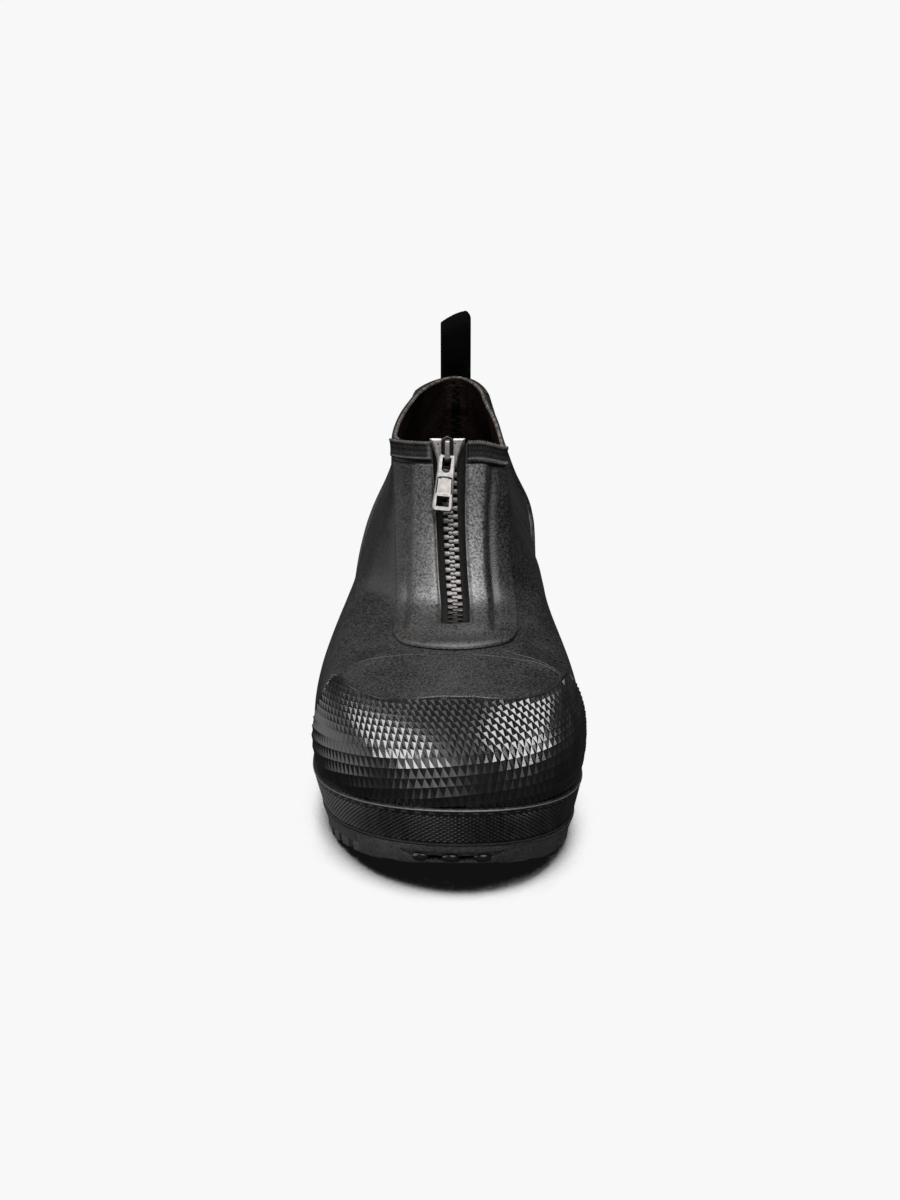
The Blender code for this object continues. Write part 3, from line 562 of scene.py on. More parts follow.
def joined(shapes):
    """One shape from several."""
    points, faces, count = [], [], 0
    for shape in shapes:
        points.append(shape[0])
        faces += [[vert + count for vert in face] for face in shape[1]]
        count += len(shape[0])
    return np.concatenate(points), faces


beads = []
for side, path in LAYER_EDGES:
    marks = np.linspace(0, 1, EDGE_PLACES)
    stops = np.linspace(0, 1, len(path))
    rings, reaches = (smooth(stops, column, marks) for column in zip(*path))
    beads.append(tube(on_upper(side, rings, reaches, EDGE_LIFT - EDGE_RADIUS), EDGE_RADIUS))
piece("layer_edges", joined(beads), [upper_rubber], sharp=80.0)

# The heel counter is a second sheet of matt rubber that stiffens the heel up to the collar.
# It is cemented on with a skived edge on either side.
COUNTER_EDGE = ((1.0, 0.60), (3.0, 0.65), (6.2, 0.71), (9.0, 0.735), (9.97, 0.74))
COUNTER_HEIGHT = 1.9
COUNTER_ROOT, COUNTER_SINK = -0.5, 0.3
COUNTER_SKIVE = 2.2
COUNTER_COLUMNS = 46
COUNTER_RING_HEIGHT = 20.0
rings = rows_along(0.9, COUNTER_EDGE[-1][0], 1.8, 1.0)[:, None]
edge = through(COUNTER_EDGE, rings)
sides, reaches = to_right_front(edge + (1 - edge) * np.linspace(0, 1, COUNTER_COLUMNS))
inset = (reaches - edge) * np.interp(rings, RING_MARKS, SPAN[0])
below_top = (COUNTER_EDGE[-1][0] - rings) * COUNTER_RING_HEIGHT
rise = ramp(-0.6, COUNTER_SKIVE, inset) * ramp(-1.2, 0.5, below_top)
sides, rings = np.broadcast_arrays(sides, rings + 0 * reaches)
heights = relief(sides, rings, reaches) + COUNTER_ROOT + (COUNTER_HEIGHT - COUNTER_ROOT) * rise
piece("counter_sheet", sheet(sides, rings, reaches, heights, COUNTER_ROOT - COUNTER_SINK),
      [upper_rubber], stands_for=("heel_counter",))

# The toe cap is glossier rubber, moulded all over with low four-sided pyramids inside a smooth lip.
# It is cemented over the toe, with its foot under the foxing.
CAP_EDGE = ((0.0, 4.24), (0.08, 4.10), (0.13, 4.12), (0.17, 4.16), (0.22, 3.55), (0.28, 2.50), (0.34, 1.60))
CAP_FOOT = 0.85
CAP_HALF = 108.0
CAP_CELL = np.array(((2.3, -3.6), (-1.0, -3.9)))
CAP_CELLS = 42
CAP_BASE, CAP_PYRAMID, CAP_ROOT = 1.2, 0.62, -0.8
CAP_FADE = (0.0, 2.2)
CAP_SKIVE = 2.5
CAP_LIP_RADIUS, CAP_LIP_HIGHLIGHT = 0.9, 0.4
CAP_TOP_RING = 4.5
CAP_LIP_PLACES, CAP_END_PLACES = 400, 30
HIGHLIGHT_GREY = (0.13, 0.13, 0.13)


def glossy_rubber(name, dark, light, roughness, streak):
    """Black glossy rubber with faint streaks down it, painted a paler grey and made duller where its lay
    marks a crest, as a painted highlight.
    """
    made, wire, inputs = material(name, Specular_IOR_Level=0.8)
    where = wire.place()
    fine = wire.noise(where, 1500.0, 2.0)
    stretched = wire.node("VectorMath", {0: where, 1: (1.0, 0.15, 0.15)}, operation="MULTIPLY")
    streaks = wire.noise(stretched, 420.0, 3.0, 0.6)
    # Painted highlight: crests marked in the lay's third number are painted a paler grey
    pale_edge = (wire.lay(2) * (fine * 0.8 + 0.6)).step(0.3, 1.0)
    plain = streaks.step(0.35, 0.75).mix(dark, light)
    wire.feed(inputs["Base Color"], pale_edge.mix(plain, HIGHLIGHT_GREY))
    gloss = (streaks - 0.5) * streak + (fine - 0.5) * 0.15 + pale_edge * 0.2
    wire.feed(inputs["Roughness"], roughness + gloss)
    wire.feed(inputs["Normal"], wire.bump(fine, 0.12, 0.0002))
    return made


cap_rubber = glossy_rubber("cap_rubber", (0.004, 0.004, 0.0045), (0.010, 0.010, 0.0105), 0.18, 0.12)
meridian = np.linspace(CAP_FOOT, CAP_TOP_RING, 300)
climb = lengths(on_last(LEFT, meridian, -1.0))


def cap_edge(away):
    """Ring of the cap's upper edge at a distance from the middle of the front."""
    return through(CAP_EDGE, np.maximum(from_front(2.5, away)[1], 0.0))


def cap_body(inside):
    """Height of the cap between its pyramids, skived down towards its edge."""
    return CAP_ROOT + (CAP_BASE - CAP_ROOT) * ramp(-CAP_SKIVE, CAP_SKIVE, inside)


def on_cap(nodes, height):
    """Points of the cap at places in its lattice, held inside its edge, and how far inside they are."""
    away, up = np.moveaxis(nodes @ CAP_CELL, -1, 0)
    held = np.clip(away, -CAP_HALF, CAP_HALF)
    top = np.interp(cap_edge(held), meridian, climb)
    inside = np.minimum.reduce([top - up, up, CAP_HALF - np.abs(away)])
    ring = np.interp(np.clip(up, 0, top), climb, meridian)
    side, reach = from_front(ring, held)
    lift = np.where(inside > 0, height(inside), CAP_ROOT)
    return on_upper(side, ring, reach, lift).reshape(-1, 3), inside


marks = np.arange(-CAP_CELLS, CAP_CELLS + 1)
nodes = np.stack(np.meshgrid(marks, marks, indexing="ij"), axis=-1).astype(float)
corners, inside = on_cap(nodes, cap_body)
tops, _ = on_cap(nodes[:-1, :-1] + 0.5,
                 lambda inside: cap_body(inside) + CAP_PYRAMID * ramp(*CAP_FADE, inside))
under, _ = on_cap(nodes, lambda inside: CAP_ROOT + 0 * inside)
a, b, c, d = cells(len(marks), len(marks))
held = np.any((inside > 0).ravel()[np.stack([a, b, c, d])], axis=0)
base = [a[held], d[held], c[held], b[held]]
peak = len(corners) + np.flatnonzero(held)
faces = [list(face) for k in range(4) for face in zip(base[k], base[(k + 1) % 4], peak)]
faces += [[vert + len(corners) + len(tops) for vert in face] for face in zip(*base[::-1])]
facets = np.concatenate([corners, tops, under]), faces
along = np.linspace(-CAP_HALF, CAP_HALF, CAP_LIP_PLACES)
edge = cap_edge(along)
away = np.concatenate([np.full(CAP_END_PLACES, -CAP_HALF), along, np.full(CAP_END_PLACES, CAP_HALF)])
left_end, right_end = (np.linspace(CAP_FOOT, ring, CAP_END_PLACES + 1)[:-1] for ring in (edge[0], edge[-1]))
rings = np.concatenate([left_end, edge, right_end[::-1]])
side, reach = from_front(rings, away)
lip = tube(on_upper(side, rings, reach), CAP_LIP_RADIUS, 8)
# The lip is painted paler grey along its length as a painted highlight
lip_lay = np.tile((0.0, 0.0, CAP_LIP_HIGHLIGHT), (len(lip[0]), 1))
cap_lay = np.concatenate([np.zeros((len(facets[0]), 3)), lip_lay])
piece("diamond_cap", joined([facets, lip]), [cap_rubber], sharp=4.0, lay=cap_lay,
      stands_for=("toe_cap",))

# The foxing is a rubber strip round the foot of the upper, rolled with fine diamonds between two beads.
# It is cemented on over the edge of the upper, and its ends meet out of sight.
FOX_HALF_COLUMNS = 252
FOX_BASE = 2.35
FOX_PYRAMID = 0.8
FOX_LATTICE = (0.135, 0.80, 15)
FOX_FOOT = ((0.005, 0.2), (0.012, 2.4), (0.035, 3.1), (0.06, 3.25), (0.085, 3.1), (0.105, 2.3))
FOX_HEAD = ((0.83, 2.2), (0.85, 2.2), (0.885, 2.2), (0.905, 2.2), (0.925, 2.9), (0.945, 3.2), (0.965, 3.1),
            (0.985, 2.5), (1.0, 0.2))
FOX_DASH_ROWS = (0.85, 0.885)
FOX_DASH_EVERY = 4
FOX_DASH_HEIGHT = 0.6
FOX_HIGHLIGHT_RINGS = (0.06, 0.945, 0.965)
FOX_ROOT, FOX_THINNEST = -0.3, 0.1
fox_rubber = glossy_rubber("fox_rubber", (0.010, 0.010, 0.0105), (0.034, 0.034, 0.0345), 0.36, 0.25)
way = lengths(on_last(LEFT, 0.5, REACH_MARKS))
even = np.interp(np.linspace(0, way[-1], FOX_HALF_COLUMNS + 1), way, REACH_MARKS)
sides, reaches = round_the_last(even)
lattice = np.linspace(*FOX_LATTICE)
rings = np.concatenate([[ring for ring, _ in FOX_FOOT], lattice, [ring for ring, _ in FOX_HEAD]])[:, None]
plain = np.concatenate([[height for _, height in FOX_FOOT], np.full(len(lattice), FOX_BASE),
                        [height for _, height in FOX_HEAD]])[:, None]
i, j = np.indices((len(rings), len(sides)))
in_lattice = (rings >= FOX_LATTICE[0]) & (rings <= FOX_LATTICE[1])
dash = (rings >= FOX_DASH_ROWS[0]) & (rings <= FOX_DASH_ROWS[1]) & (j % FOX_DASH_EVERY < 2)
heights = plain + FOX_PYRAMID * ((i + j) % 2) * in_lattice + FOX_DASH_HEIGHT * dash
# The crests of the two beads and the raised dashes are painted paler grey as a painted highlight
crest = np.isin(rings, FOX_HIGHLIGHT_RINGS) + 0 * heights
under = np.minimum(heights - FOX_THINNEST, FOX_ROOT)
piece("foxing_strip",
      sheet(sides, rings, reaches, heights, under, level=True, wrap=True, pyramids=True),
      [fox_rubber], sharp=25.0, stands_for=("foxing",),
      lay=np.stack([0 * heights, heights, np.maximum(crest, dash)], axis=-1))

# The outsole is one moulding of tough matt rubber, cemented under the foxing.
# Its plate is smooth round the sides and tucks in a little towards the ground.
SOLE_GROW = 3.2
SOLE_TUCK = 2.0
SOLE_LAP = 0.4
sole_rubber = matt_rubber("sole_rubber", (0.062, 0.062, 0.0625), (0.15, 0.15, 0.151), 0.55, 0.25, 900.0)


def sole_height(column, y):
    return np.interp(y, [row.y for row in SOLE], [getattr(row, column) for row in SOLE])


def sole_x(y, across, grow):
    """Point across the sole's outline at y, from -1 at its left edge to 1 at its right edge."""
    ring = RINGS[0]
    u = (y - ring.front_y) / (ring.back_y - ring.front_y)
    return across * half_width(ring, y, grow) + through(MIDDLE_LINE, y) + ring.lean * (1 - u)


sole_front = RINGS[0].front_y - SOLE_GROW
sole_back = RINGS[0].back_y + SOLE_GROW


def tucked(y):
    return sole_front + SOLE_TUCK + (y - sole_front) * (1 - 2 * SOLE_TUCK / (sole_back - sole_front))


y = eased(sole_front, sole_back, 0.01, 120)[:, None]
across = eased(-1.0, 1.0, 0.0, 25)
y_grid = y + 0 * across
top = np.stack([sole_x(y, across, SOLE_GROW), y_grid, sole_top(y_grid) - SOLE_LAP], axis=-1)
plate_x = sole_x(tucked(y), across, SOLE_GROW - SOLE_TUCK)
plate = np.stack([plate_x, tucked(y_grid), sole_height("plate", y_grid)], axis=-1)


def bevelled(shape, width, segments=2, angle=30.0):
    """The same shape with its hard edges rounded."""
    mesh = bpy.data.meshes.new("bevel")
    mesh.from_pydata(np.asarray(shape[0]).tolist(), [], shape[1])
    bm = bmesh.new()
    bm.from_mesh(mesh)
    bpy.data.meshes.remove(mesh)
    bmesh.ops.recalc_face_normals(bm, faces=bm.faces)
    edges = [edge for edge in bm.edges if edge.calc_face_angle(0.0) > math.radians(angle)]
    bmesh.ops.bevel(bm, geom=edges, offset=width, segments=segments, profile=0.5, affect="EDGES",
                    clamp_overlap=True)
    bm.verts.index_update()
    points = np.array([vert.co for vert in bm.verts])
    faces = [[vert.index for vert in face.verts] for face in bm.faces]
    bm.free()
    return points, faces


piece("sole_plate", bevelled(solid(top, plate), 0.9, 3, 50.0), [sole_rubber],
      stands_for=("outsole",))

# The tread lugs are short tapered blocks under the ball and the heel, part of the same moulding.
# Every other row is set half a lug across.
LugBand = namedtuple("LugBand", "start lug groove rows odd even")
LUG_BANDS = (
    LugBand(10.5, 7.0, 4.2, 12, (0, 2, 4, 6, 8), (0, 1, 3, 5, 7, 8)),
    LugBand(213.0, 8.4, 4.4, 7, (0, 1, 3, 5, 7, 8), (0, 2, 4, 6, 8)),
)
TREAD_COLUMNS = (-1.0, -0.74, -0.45, -0.27, -0.09, 0.09, 0.27, 0.45, 0.74, 1.0)
LUG_TAPER = 0.94
LUG_SINK = 0.6


def prism(low, high):
    """Closed block between two outlines of points."""
    count = len(low)
    sides = [[j, (j + 1) % count, count + (j + 1) % count, count + j] for j in range(count)]
    return np.concatenate([low, high]), sides + [list(range(count))[::-1], list(range(count, 2 * count))]


lugs = []
for band in LUG_BANDS:
    for row in range(band.rows):
        start = band.start + row * (band.lug + band.groove)
        for cell in band.even if row % 2 else band.odd:
            left, right = TREAD_COLUMNS[cell], TREAD_COLUMNS[cell + 1]
            up = np.linspace(start, start + band.lug, 5)
            ys = np.concatenate([up, up[::-1]])
            xs = sole_x(tucked(ys), np.repeat((left, right), 5), SOLE_GROW - SOLE_TUCK)
            root = np.stack([xs, tucked(ys), sole_height("plate", ys) + LUG_SINK], axis=1)
            centre = root.mean(axis=0)
            face = centre + (root - centre) * LUG_TAPER
            face[:, 2] = sole_height("tread", face[:, 1])
            lugs.append(bevelled(prism(root, face), 0.5, 2))
piece("tread_lugs", joined(lugs), [sole_rubber])

# The toe bumper is the sole's side where it runs on round the toe down to the tread.
# A crescent window is moulded into it, its recess painted in the cap's black rubber as painted shade, and
# three round studs show there.
BUMPER_HALF = 52.0
WINDOW_MIDDLE, WINDOW_HALF, WINDOW_DEPTH = -5.0, 21.0, 3.6
WINDOW_HEAD, WINDOW_HEAD_DROP, WINDOW_FOOT = 0.28, 0.08, 0.93
STUDS = (-12.6, 0.0, 12.6)
STUD_HALF, STUD_DOWN, STUD_SINK = np.array((4.1, 3.0, 2.5)), 0.62, 2.3
BUMPER_ROOT = -5.5
away = np.linspace(-BUMPER_HALF, BUMPER_HALF, 261)
down = np.concatenate([np.linspace(0, 1, 46), [1.0, 1.0, 1.0]])[:, None]
side, reach = from_front(0.0, away)
edge_y = on_last(side, 0.0, reach, SOLE_GROW, level=True)[:, 1]
bow = np.clip(1 - ((away - WINDOW_MIDDLE) / WINDOW_HALF) ** 2, 0, 1)
head = WINDOW_HEAD + WINDOW_HEAD_DROP * bow
foot = head + (WINDOW_FOOT - WINDOW_HEAD - WINDOW_HEAD_DROP) * np.sqrt(bow)
window = ramp(0.0, 0.05, down - head) * ramp(0.0, 0.04, foot - down)
out = SOLE_GROW + 0.05 - SOLE_TUCK * down ** 1.5 - WINDOW_DEPTH * window
out[-3:] = (out[-4] - 0.15, out[-4] - 0.6, out[-4] - 2.5)
bumper = on_last(side, 0.0, reach, out, level=True)
bumper[..., 2] = (sole_top(edge_y) - SOLE_LAP) * (1 - down) + (sole_height("tread", edge_y) + 0.2) * down
bumper[-3:, :, 2] += np.array((-0.1, -0.18, -0.2))[:, None]
behind = on_last(side, 0.0, reach, np.minimum(out - 0.4, BUMPER_ROOT), level=True)
behind[..., 2] = bumper[..., 2]
points, faces, slots = solid(bumper, behind)
# Painted shade: the window's recess faces take the darker cap rubber
shaded = window > 0.35
shaded = (shaded[:-1, :-1] & shaded[1:, 1:]).ravel()
slots = np.concatenate([shaded, np.zeros(len(faces) - len(shaded))]).astype(int)
piece("toe_bumper", (points, faces, slots), [sole_rubber, cap_rubber])


def ball(centre, halves, turns=20):
    """Closed ball with its own half sizes."""
    lift = np.linspace(-math.pi / 2, math.pi / 2, turns)[:, None]
    turn = np.linspace(0, 2 * math.pi, turns, endpoint=False)
    around = np.cos(lift)
    shell = np.stack([around * np.cos(turn), around * np.sin(turn), np.sin(lift) + 0 * turn], axis=-1)
    faces = np.stack(cells(turns, turns, wrap=True), -1).reshape(-1, 4)
    return (centre + shell * halves).reshape(-1, 3), faces.tolist()


studs = []
for x in STUDS:
    side, reach = from_front(0.0, x + WINDOW_MIDDLE)
    centre = on_last(side, 0.0, reach, SOLE_GROW - SOLE_TUCK * STUD_DOWN ** 1.5 - STUD_SINK, level=True)
    centre[2] = sole_top(centre[1]) * (1 - STUD_DOWN) + sole_height("tread", centre[1]) * STUD_DOWN
    studs.append(ball(centre, STUD_HALF))
piece("toe_studs", joined(studs), [cap_rubber])

# The insole is a loose sheet of the same brown felt, cut to the sole's outline.
# It lies on the outsole inside the upper.
INSOLE_GROW = -3.2
INSOLE_HEIGHTS = (2.6, 0.1)
y = eased(RINGS[0].front_y - INSOLE_GROW, RINGS[0].back_y + INSOLE_GROW, 0.1, 50)[:, None]
x, y = np.broadcast_arrays(sole_x(y, np.linspace(-1, 1, 13), INSOLE_GROW), y)
insole = [np.stack([x, y, sole_top(y) + height], axis=-1) for height in INSOLE_HEIGHTS]
piece("felt_insole", solid(*insole), [felt], stands_for=("insole",))

# The zip panel is a matt rubber sheet cemented on round the zip. The tapes beneath raise its middle,
# and it sinks into a soft groove on either side, deeper on the right.
PANEL_REACH = {LEFT: 20.5, RIGHT: 22.0}
PANEL_ROUND = 6.5
PANEL_HEIGHT = 1.6
PANEL_ROOT, PANEL_SINK = -0.4, 0.4
PANEL_EASE = 0.9
PANEL_COLUMN_STEP = 0.6
PANEL_TOP_DROP = 9.9
PANEL_GROOVES = {LEFT: ((6.0, 15.3), (8.55, 12.3), (9.6, 9.7)),
                 RIGHT: ((6.1, 10.3), (8.6, 10.6), (9.6, 11.6))}
GROOVE_DEPTH = {LEFT: 0.5, RIGHT: 0.8}
GROOVE_WIDTH, GROOVE_FADE = 2.2, (5.25, 5.9)
STRIP_RISE = {LEFT: 0.9, RIGHT: 1.3}
STRIP_FALL = 3.2
PANEL_FLARE = 0.14
PANEL_RUB, RUB_START, RUB_GAIN = {LEFT: 0.0, RIGHT: 0.7}, (5.4, 7.4), (6.5, 9.3)
PANEL_RING_HEIGHT = 30.0
SLOT_DIP, SLOT_DIP_REACH, NO_SLOT = 0.8, 1.6, 9.0
RIDGE_RING, RIDGE_WIDTH, RIDGE_HEIGHT = 5.13, 0.07, 0.5
panel_rubber = matt_rubber("panel_rubber", (0.002, 0.002, 0.0023), (0.030, 0.0283, 0.027), 0.42, 0.5, 950.0,
                           rubbed=1.3)
rim_rings = np.linspace(8.5, COLLAR, 200)
rim_way = lengths(on_last(LEFT, rim_rings, 0.0))


def below_rim(drop):
    """Ring that lies a distance below the collar, measured at the slot's edge."""
    return float(np.interp(rim_way[-1] - drop, rim_way, rim_rings))


panel_top = below_rim(PANEL_TOP_DROP)
rise_per_ring = np.linalg.norm(on_last(LEFT, ZIP_FOOT, 0.0) - on_last(LEFT, PANEL_FOOT, 0.0))
arcs, sides = [], []
for side in (LEFT, RIGHT):
    reach = PANEL_REACH[side]
    marks = np.concatenate([[reach, reach - 0.25, reach - 0.6],
                            np.arange(reach - 1.2, 0.5, -PANEL_COLUMN_STEP), [0.4, 0.15, 0.0]])
    line = np.concatenate([marks, np.linspace(0.0, -1.0, 9)[1:]])
    arcs.append(line if side == LEFT else line[::-1][1:])
    sides.append(np.full(len(arcs[-1]), side))
arcs, sides = np.concatenate(arcs), np.concatenate(sides)
reach_limit = np.where(sides > 0, PANEL_REACH[RIGHT], PANEL_REACH[LEFT])
past = np.maximum(arcs - (reach_limit - PANEL_ROUND), 0.0)
lift = (PANEL_ROUND - np.sqrt(np.maximum(PANEL_ROUND ** 2 - past ** 2, 0.0))) / rise_per_ring
foot_marks = np.concatenate([[0.0, 0.012, 0.03, 0.06], np.linspace(0.1, 1, 20)])[:, None]
foot_rings = PANEL_FOOT + lift + (ZIP_FOOT - PANEL_FOOT - lift) * foot_marks
above = rows_along(ZIP_FOOT, panel_top, 0.9)[1:, None] + 0 * arcs
rings = np.concatenate([foot_rings, above])
sides = sides + 0 * rings.astype(int)
arcs = arcs + 0 * rings
flare = 1 + PANEL_FLARE * (1 - ramp(6.0, 9.0, rings))
reaches = np.where(arcs >= 0, reach_at(sides, rings, np.maximum(arcs, 0.0) * flare), arcs)
slot_cell = (np.minimum(arcs[0, :-1], arcs[0, 1:]) < 0)[None]
present = ~(slot_cell & (rings[1:, :1] > ZIP_FOOT + RING_STEP / 2))
from_foot = (rings - PANEL_FOOT - lift) * rise_per_ring
from_slot = np.where(rings > ZIP_FOOT - 0.02, np.maximum(arcs, 0.0), NO_SLOT)
edge = np.minimum.reduce([reach_limit - arcs, from_foot, (panel_top - rings) * PANEL_RING_HEIGHT])
heights = PANEL_ROOT + (PANEL_HEIGHT - PANEL_ROOT) * ramp(-0.9, PANEL_EASE, edge)
heights = heights - SLOT_DIP * (1 - ramp(0.0, SLOT_DIP_REACH, from_slot))
rubbed = 0.0 * heights
for side in (LEFT, RIGHT):
    here = (sides == side)
    from_groove = arcs - through(PANEL_GROOVES[side], rings)
    inside = 1 - ramp(-STRIP_FALL, 0.0, from_groove)
    rise = STRIP_RISE[side] * inside - GROOVE_DEPTH[side] * hump(from_groove, GROOVE_WIDTH)
    heights = heights + here * ramp(*GROOVE_FADE, rings) * rise
    wear = ramp(*RUB_START, rings) * inside * (1 + PANEL_RUB[side] * ramp(*RUB_GAIN, rings))
    rubbed = rubbed + here * wear
along = np.where(sides > 0, 1 - ramp(9.0, 16.0, arcs), 1 - ramp(-1.0, 8.0, arcs))
heights = heights + RIDGE_HEIGHT * along * hump(rings - RIDGE_RING, RIDGE_WIDTH)
heights = heights + relief(sides, rings, reaches)
piece("panel_sheet", sheet(sides, rings, reaches, heights, PANEL_ROOT - PANEL_SINK, present=present),
      [panel_rubber], lay=np.stack([arcs, rings, rubbed], axis=-1), stands_for=("zip_panel",))

# The collar bands are doubled woven binding sewn round the front of the collar, with rolled edges.
# The left end is folded under beside the zip, and the right band's edges are whip-stitched.
BAND_HEIGHT = 8.4
BAND_START, BAND_REACH = 0.5, 19.5
BAND_THICKNESS = 2.4
BAND_ROOT = 0.05
BAND_ROLL, BAND_ROLL_INSET, BAND_ROLL_WIDTH = 0.45, 0.8, 1.3
BAND_WAVE, BAND_WEAR_INSET = 0.18, 0.6
BINDING_DARK, BINDING_LIGHT = (0.002, 0.002, 0.0023), (0.060, 0.058, 0.056)
NAMED_SIDES = (("left", LEFT), ("right", RIGHT))
binding, wire, inputs = material("binding", Roughness=0.8, Specular_IOR_Level=0.15)
across_u, along_v, pale_edge = (wire.lay(axis) for axis in range(3))
ribs = across_u.sine(5.2) * 0.2 + along_v.sine(2.6) * 0.3
fuzz = wire.noise(wire.place(), 900.0, 3.0, 0.7)
shade = (fuzz * 0.7 + ribs * 0.25 + pale_edge * 0.8).step(0.2, 1.2)
wire.feed(inputs["Base Color"], shade.mix(BINDING_DARK, BINDING_LIGHT))
wire.feed(inputs["Normal"], wire.bump(ribs + fuzz, 0.7, 0.0003))
thread, wire, inputs = material("thread", Roughness=0.8, Specular_IOR_Level=0.2)
fuzz = wire.noise(wire.place(), 1200.0, 2.0)
wire.feed(inputs["Base Color"], fuzz.step(0.3, 0.7).mix((0.05, 0.05, 0.05), (0.20, 0.19, 0.18)))

band_foot = below_rim(BAND_HEIGHT)
band_rings = np.linspace(band_foot, COLLAR + 0.012, 30)[:, None]
for name, side in NAMED_SIDES:
    arcs = np.linspace(BAND_START, BAND_REACH, 40) + 0 * band_rings
    drop = (COLLAR - band_rings) * BAND_HEIGHT / (COLLAR - band_foot)
    nearest_edge = np.minimum(drop, BAND_HEIGHT - drop)
    end = np.minimum(arcs - BAND_START, BAND_REACH - arcs)
    height = BAND_THICKNESS * ramp(-0.8, 0.5, nearest_edge) * ramp(-0.8, 0.5, end)
    height = height + BAND_ROLL * hump(nearest_edge - BAND_ROLL_INSET, BAND_ROLL_WIDTH)
    height = height + BAND_WAVE * np.sin(arcs * 0.8 + side) * ramp(0, 3, nearest_edge)
    rings = band_rings + 0 * arcs
    pale_edge = hump(nearest_edge - BAND_WEAR_INSET, 0.6)
    if side == LEFT:
        pale_edge = pale_edge + hump(arcs - BAND_START - BAND_WEAR_INSET, 0.8)
    piece("binding_" + name, sheet(side, rings, reach_at(side, rings, arcs), height, BAND_ROOT), [binding],
          stands_for=("collar_band_" + name,),
          lay=np.stack(np.broadcast_arrays(arcs, drop, pale_edge), axis=-1))

StitchRow = namedtuple("StitchRow", "side start pitch drop half lean height bow")
STITCH_ROWS = (
    StitchRow(RIGHT, 0.8, 1.15, 0.3, 0.75, 0.5, 2.95, 0.5),
    StitchRow(RIGHT, 0.8, 1.15, BAND_HEIGHT - 0.2, 0.75, -0.5, 2.95, 0.5),
    StitchRow(LEFT, 0.6, 1.495, 0.5, 0.5, 0.3, 2.85, 0.4),
)
STITCH_RADIUS = 0.2
STITCH_END = 0.4
marks = np.linspace(-1, 1, 7)
stitches = []
for row in STITCH_ROWS:
    rings = COLLAR - (row.drop + marks * row.half) * (COLLAR - band_foot) / BAND_HEIGHT
    for arc in np.arange(BAND_START + row.start, BAND_REACH - STITCH_END, row.pitch):
        reaches = reach_at(row.side, rings, arc + row.lean * marks)
        line = on_last(row.side, rings, reaches, row.height - row.bow * marks ** 2)
        stitches.append(tube(line, STITCH_RADIUS, 5))
piece("band_stitches", joined(stitches), [thread], sharp=80.0)

# The zip tapes are woven strips, cemented under the wall on both sides of the slot.
# They carry the teeth on their inner edges, and part at the top where the slider stands.
TAPE_HIDDEN = 9.0
TAPE_UNDER = -2.6
TAPE_AT_TEETH = -0.9
TAPE_THICKNESS = 0.8
TAPE_HALF_GAP = 0.4
NECK_SPREAD = 2.4
NECK_FOOT = 5.6
NECK_RINGS = 0.35
SLIDER_SHIFT = -0.8
TAPE_FOOT_RING = 5.75
TAPE_DARK, TAPE_LIGHT = (0.004, 0.0038, 0.0036), (0.022, 0.0202, 0.0185)


def across_slot(ring, x, height):
    """Point in the zip's slot, x from its middle line, a height off the line between its edges."""
    left, right = on_last(LEFT, ring, 0.0), on_last(RIGHT, ring, 0.0)
    out = unit(on_last(LEFT, ring, 0.0, 1.0) - left + on_last(RIGHT, ring, 0.0, 1.0) - right)
    x, height = np.asarray(x, float)[..., None], np.asarray(height, float)[..., None]
    return (left + right) / 2 + x * unit(right - left) + height * out


tape_cloth, wire, inputs = material("tape_cloth", Roughness=0.9, Specular_IOR_Level=0.2)
across_u, along_v = wire.lay(0), wire.lay(1)
weave = across_u.sine(8.0) * along_v.sine(8.0)
fuzz = wire.noise(wire.place(), 1000.0, 2.0)
wire.feed(inputs["Base Color"], (weave * 0.3 + fuzz).step(0.2, 0.9).mix(TAPE_DARK, TAPE_LIGHT))
wire.feed(inputs["Normal"], wire.bump(weave, 0.8, 0.0003))
parted = below_rim(NECK_FOOT)
rings = rows_along(TAPE_FOOT_RING, COLLAR, 1.2)
slot_half = np.interp(rings, range(len(RINGS)), [ring.slot for ring in RINGS])
for name, side in NAMED_SIDES:
    spread = (side * TAPE_HALF_GAP, side * NECK_SPREAD + SLIDER_SHIFT)
    edge = np.interp(rings, (parted - NECK_RINGS, parted), spread)
    grids = []
    for depth in (0.0, -TAPE_THICKNESS):
        lines = [on_last(side, rings, reach_at(side, rings, arc), TAPE_UNDER + depth)
                 for arc in (TAPE_HIDDEN, TAPE_HIDDEN / 2, 0.6)]
        for part in np.linspace(0, 1, 8):
            x = side * slot_half + (edge - side * slot_half) * part
            lift = TAPE_UNDER + depth + (TAPE_AT_TEETH - TAPE_UNDER) * ramp(0.0, 0.5, part)
            lines.append(across_slot(rings, x, lift))
        grids.append(np.stack(lines, axis=1))
    v = lengths(grids[0][:, -1])[:, None]
    u = np.concatenate([[0.0, 4.5, 8.4], np.linspace(9, 15, 8)])
    piece("tape_" + name, solid(*grids), [tape_cloth], stands_for=("zip_tape_" + name,),
          lay=np.stack(np.broadcast_arrays(u, v, 0.0 * v), axis=-1))

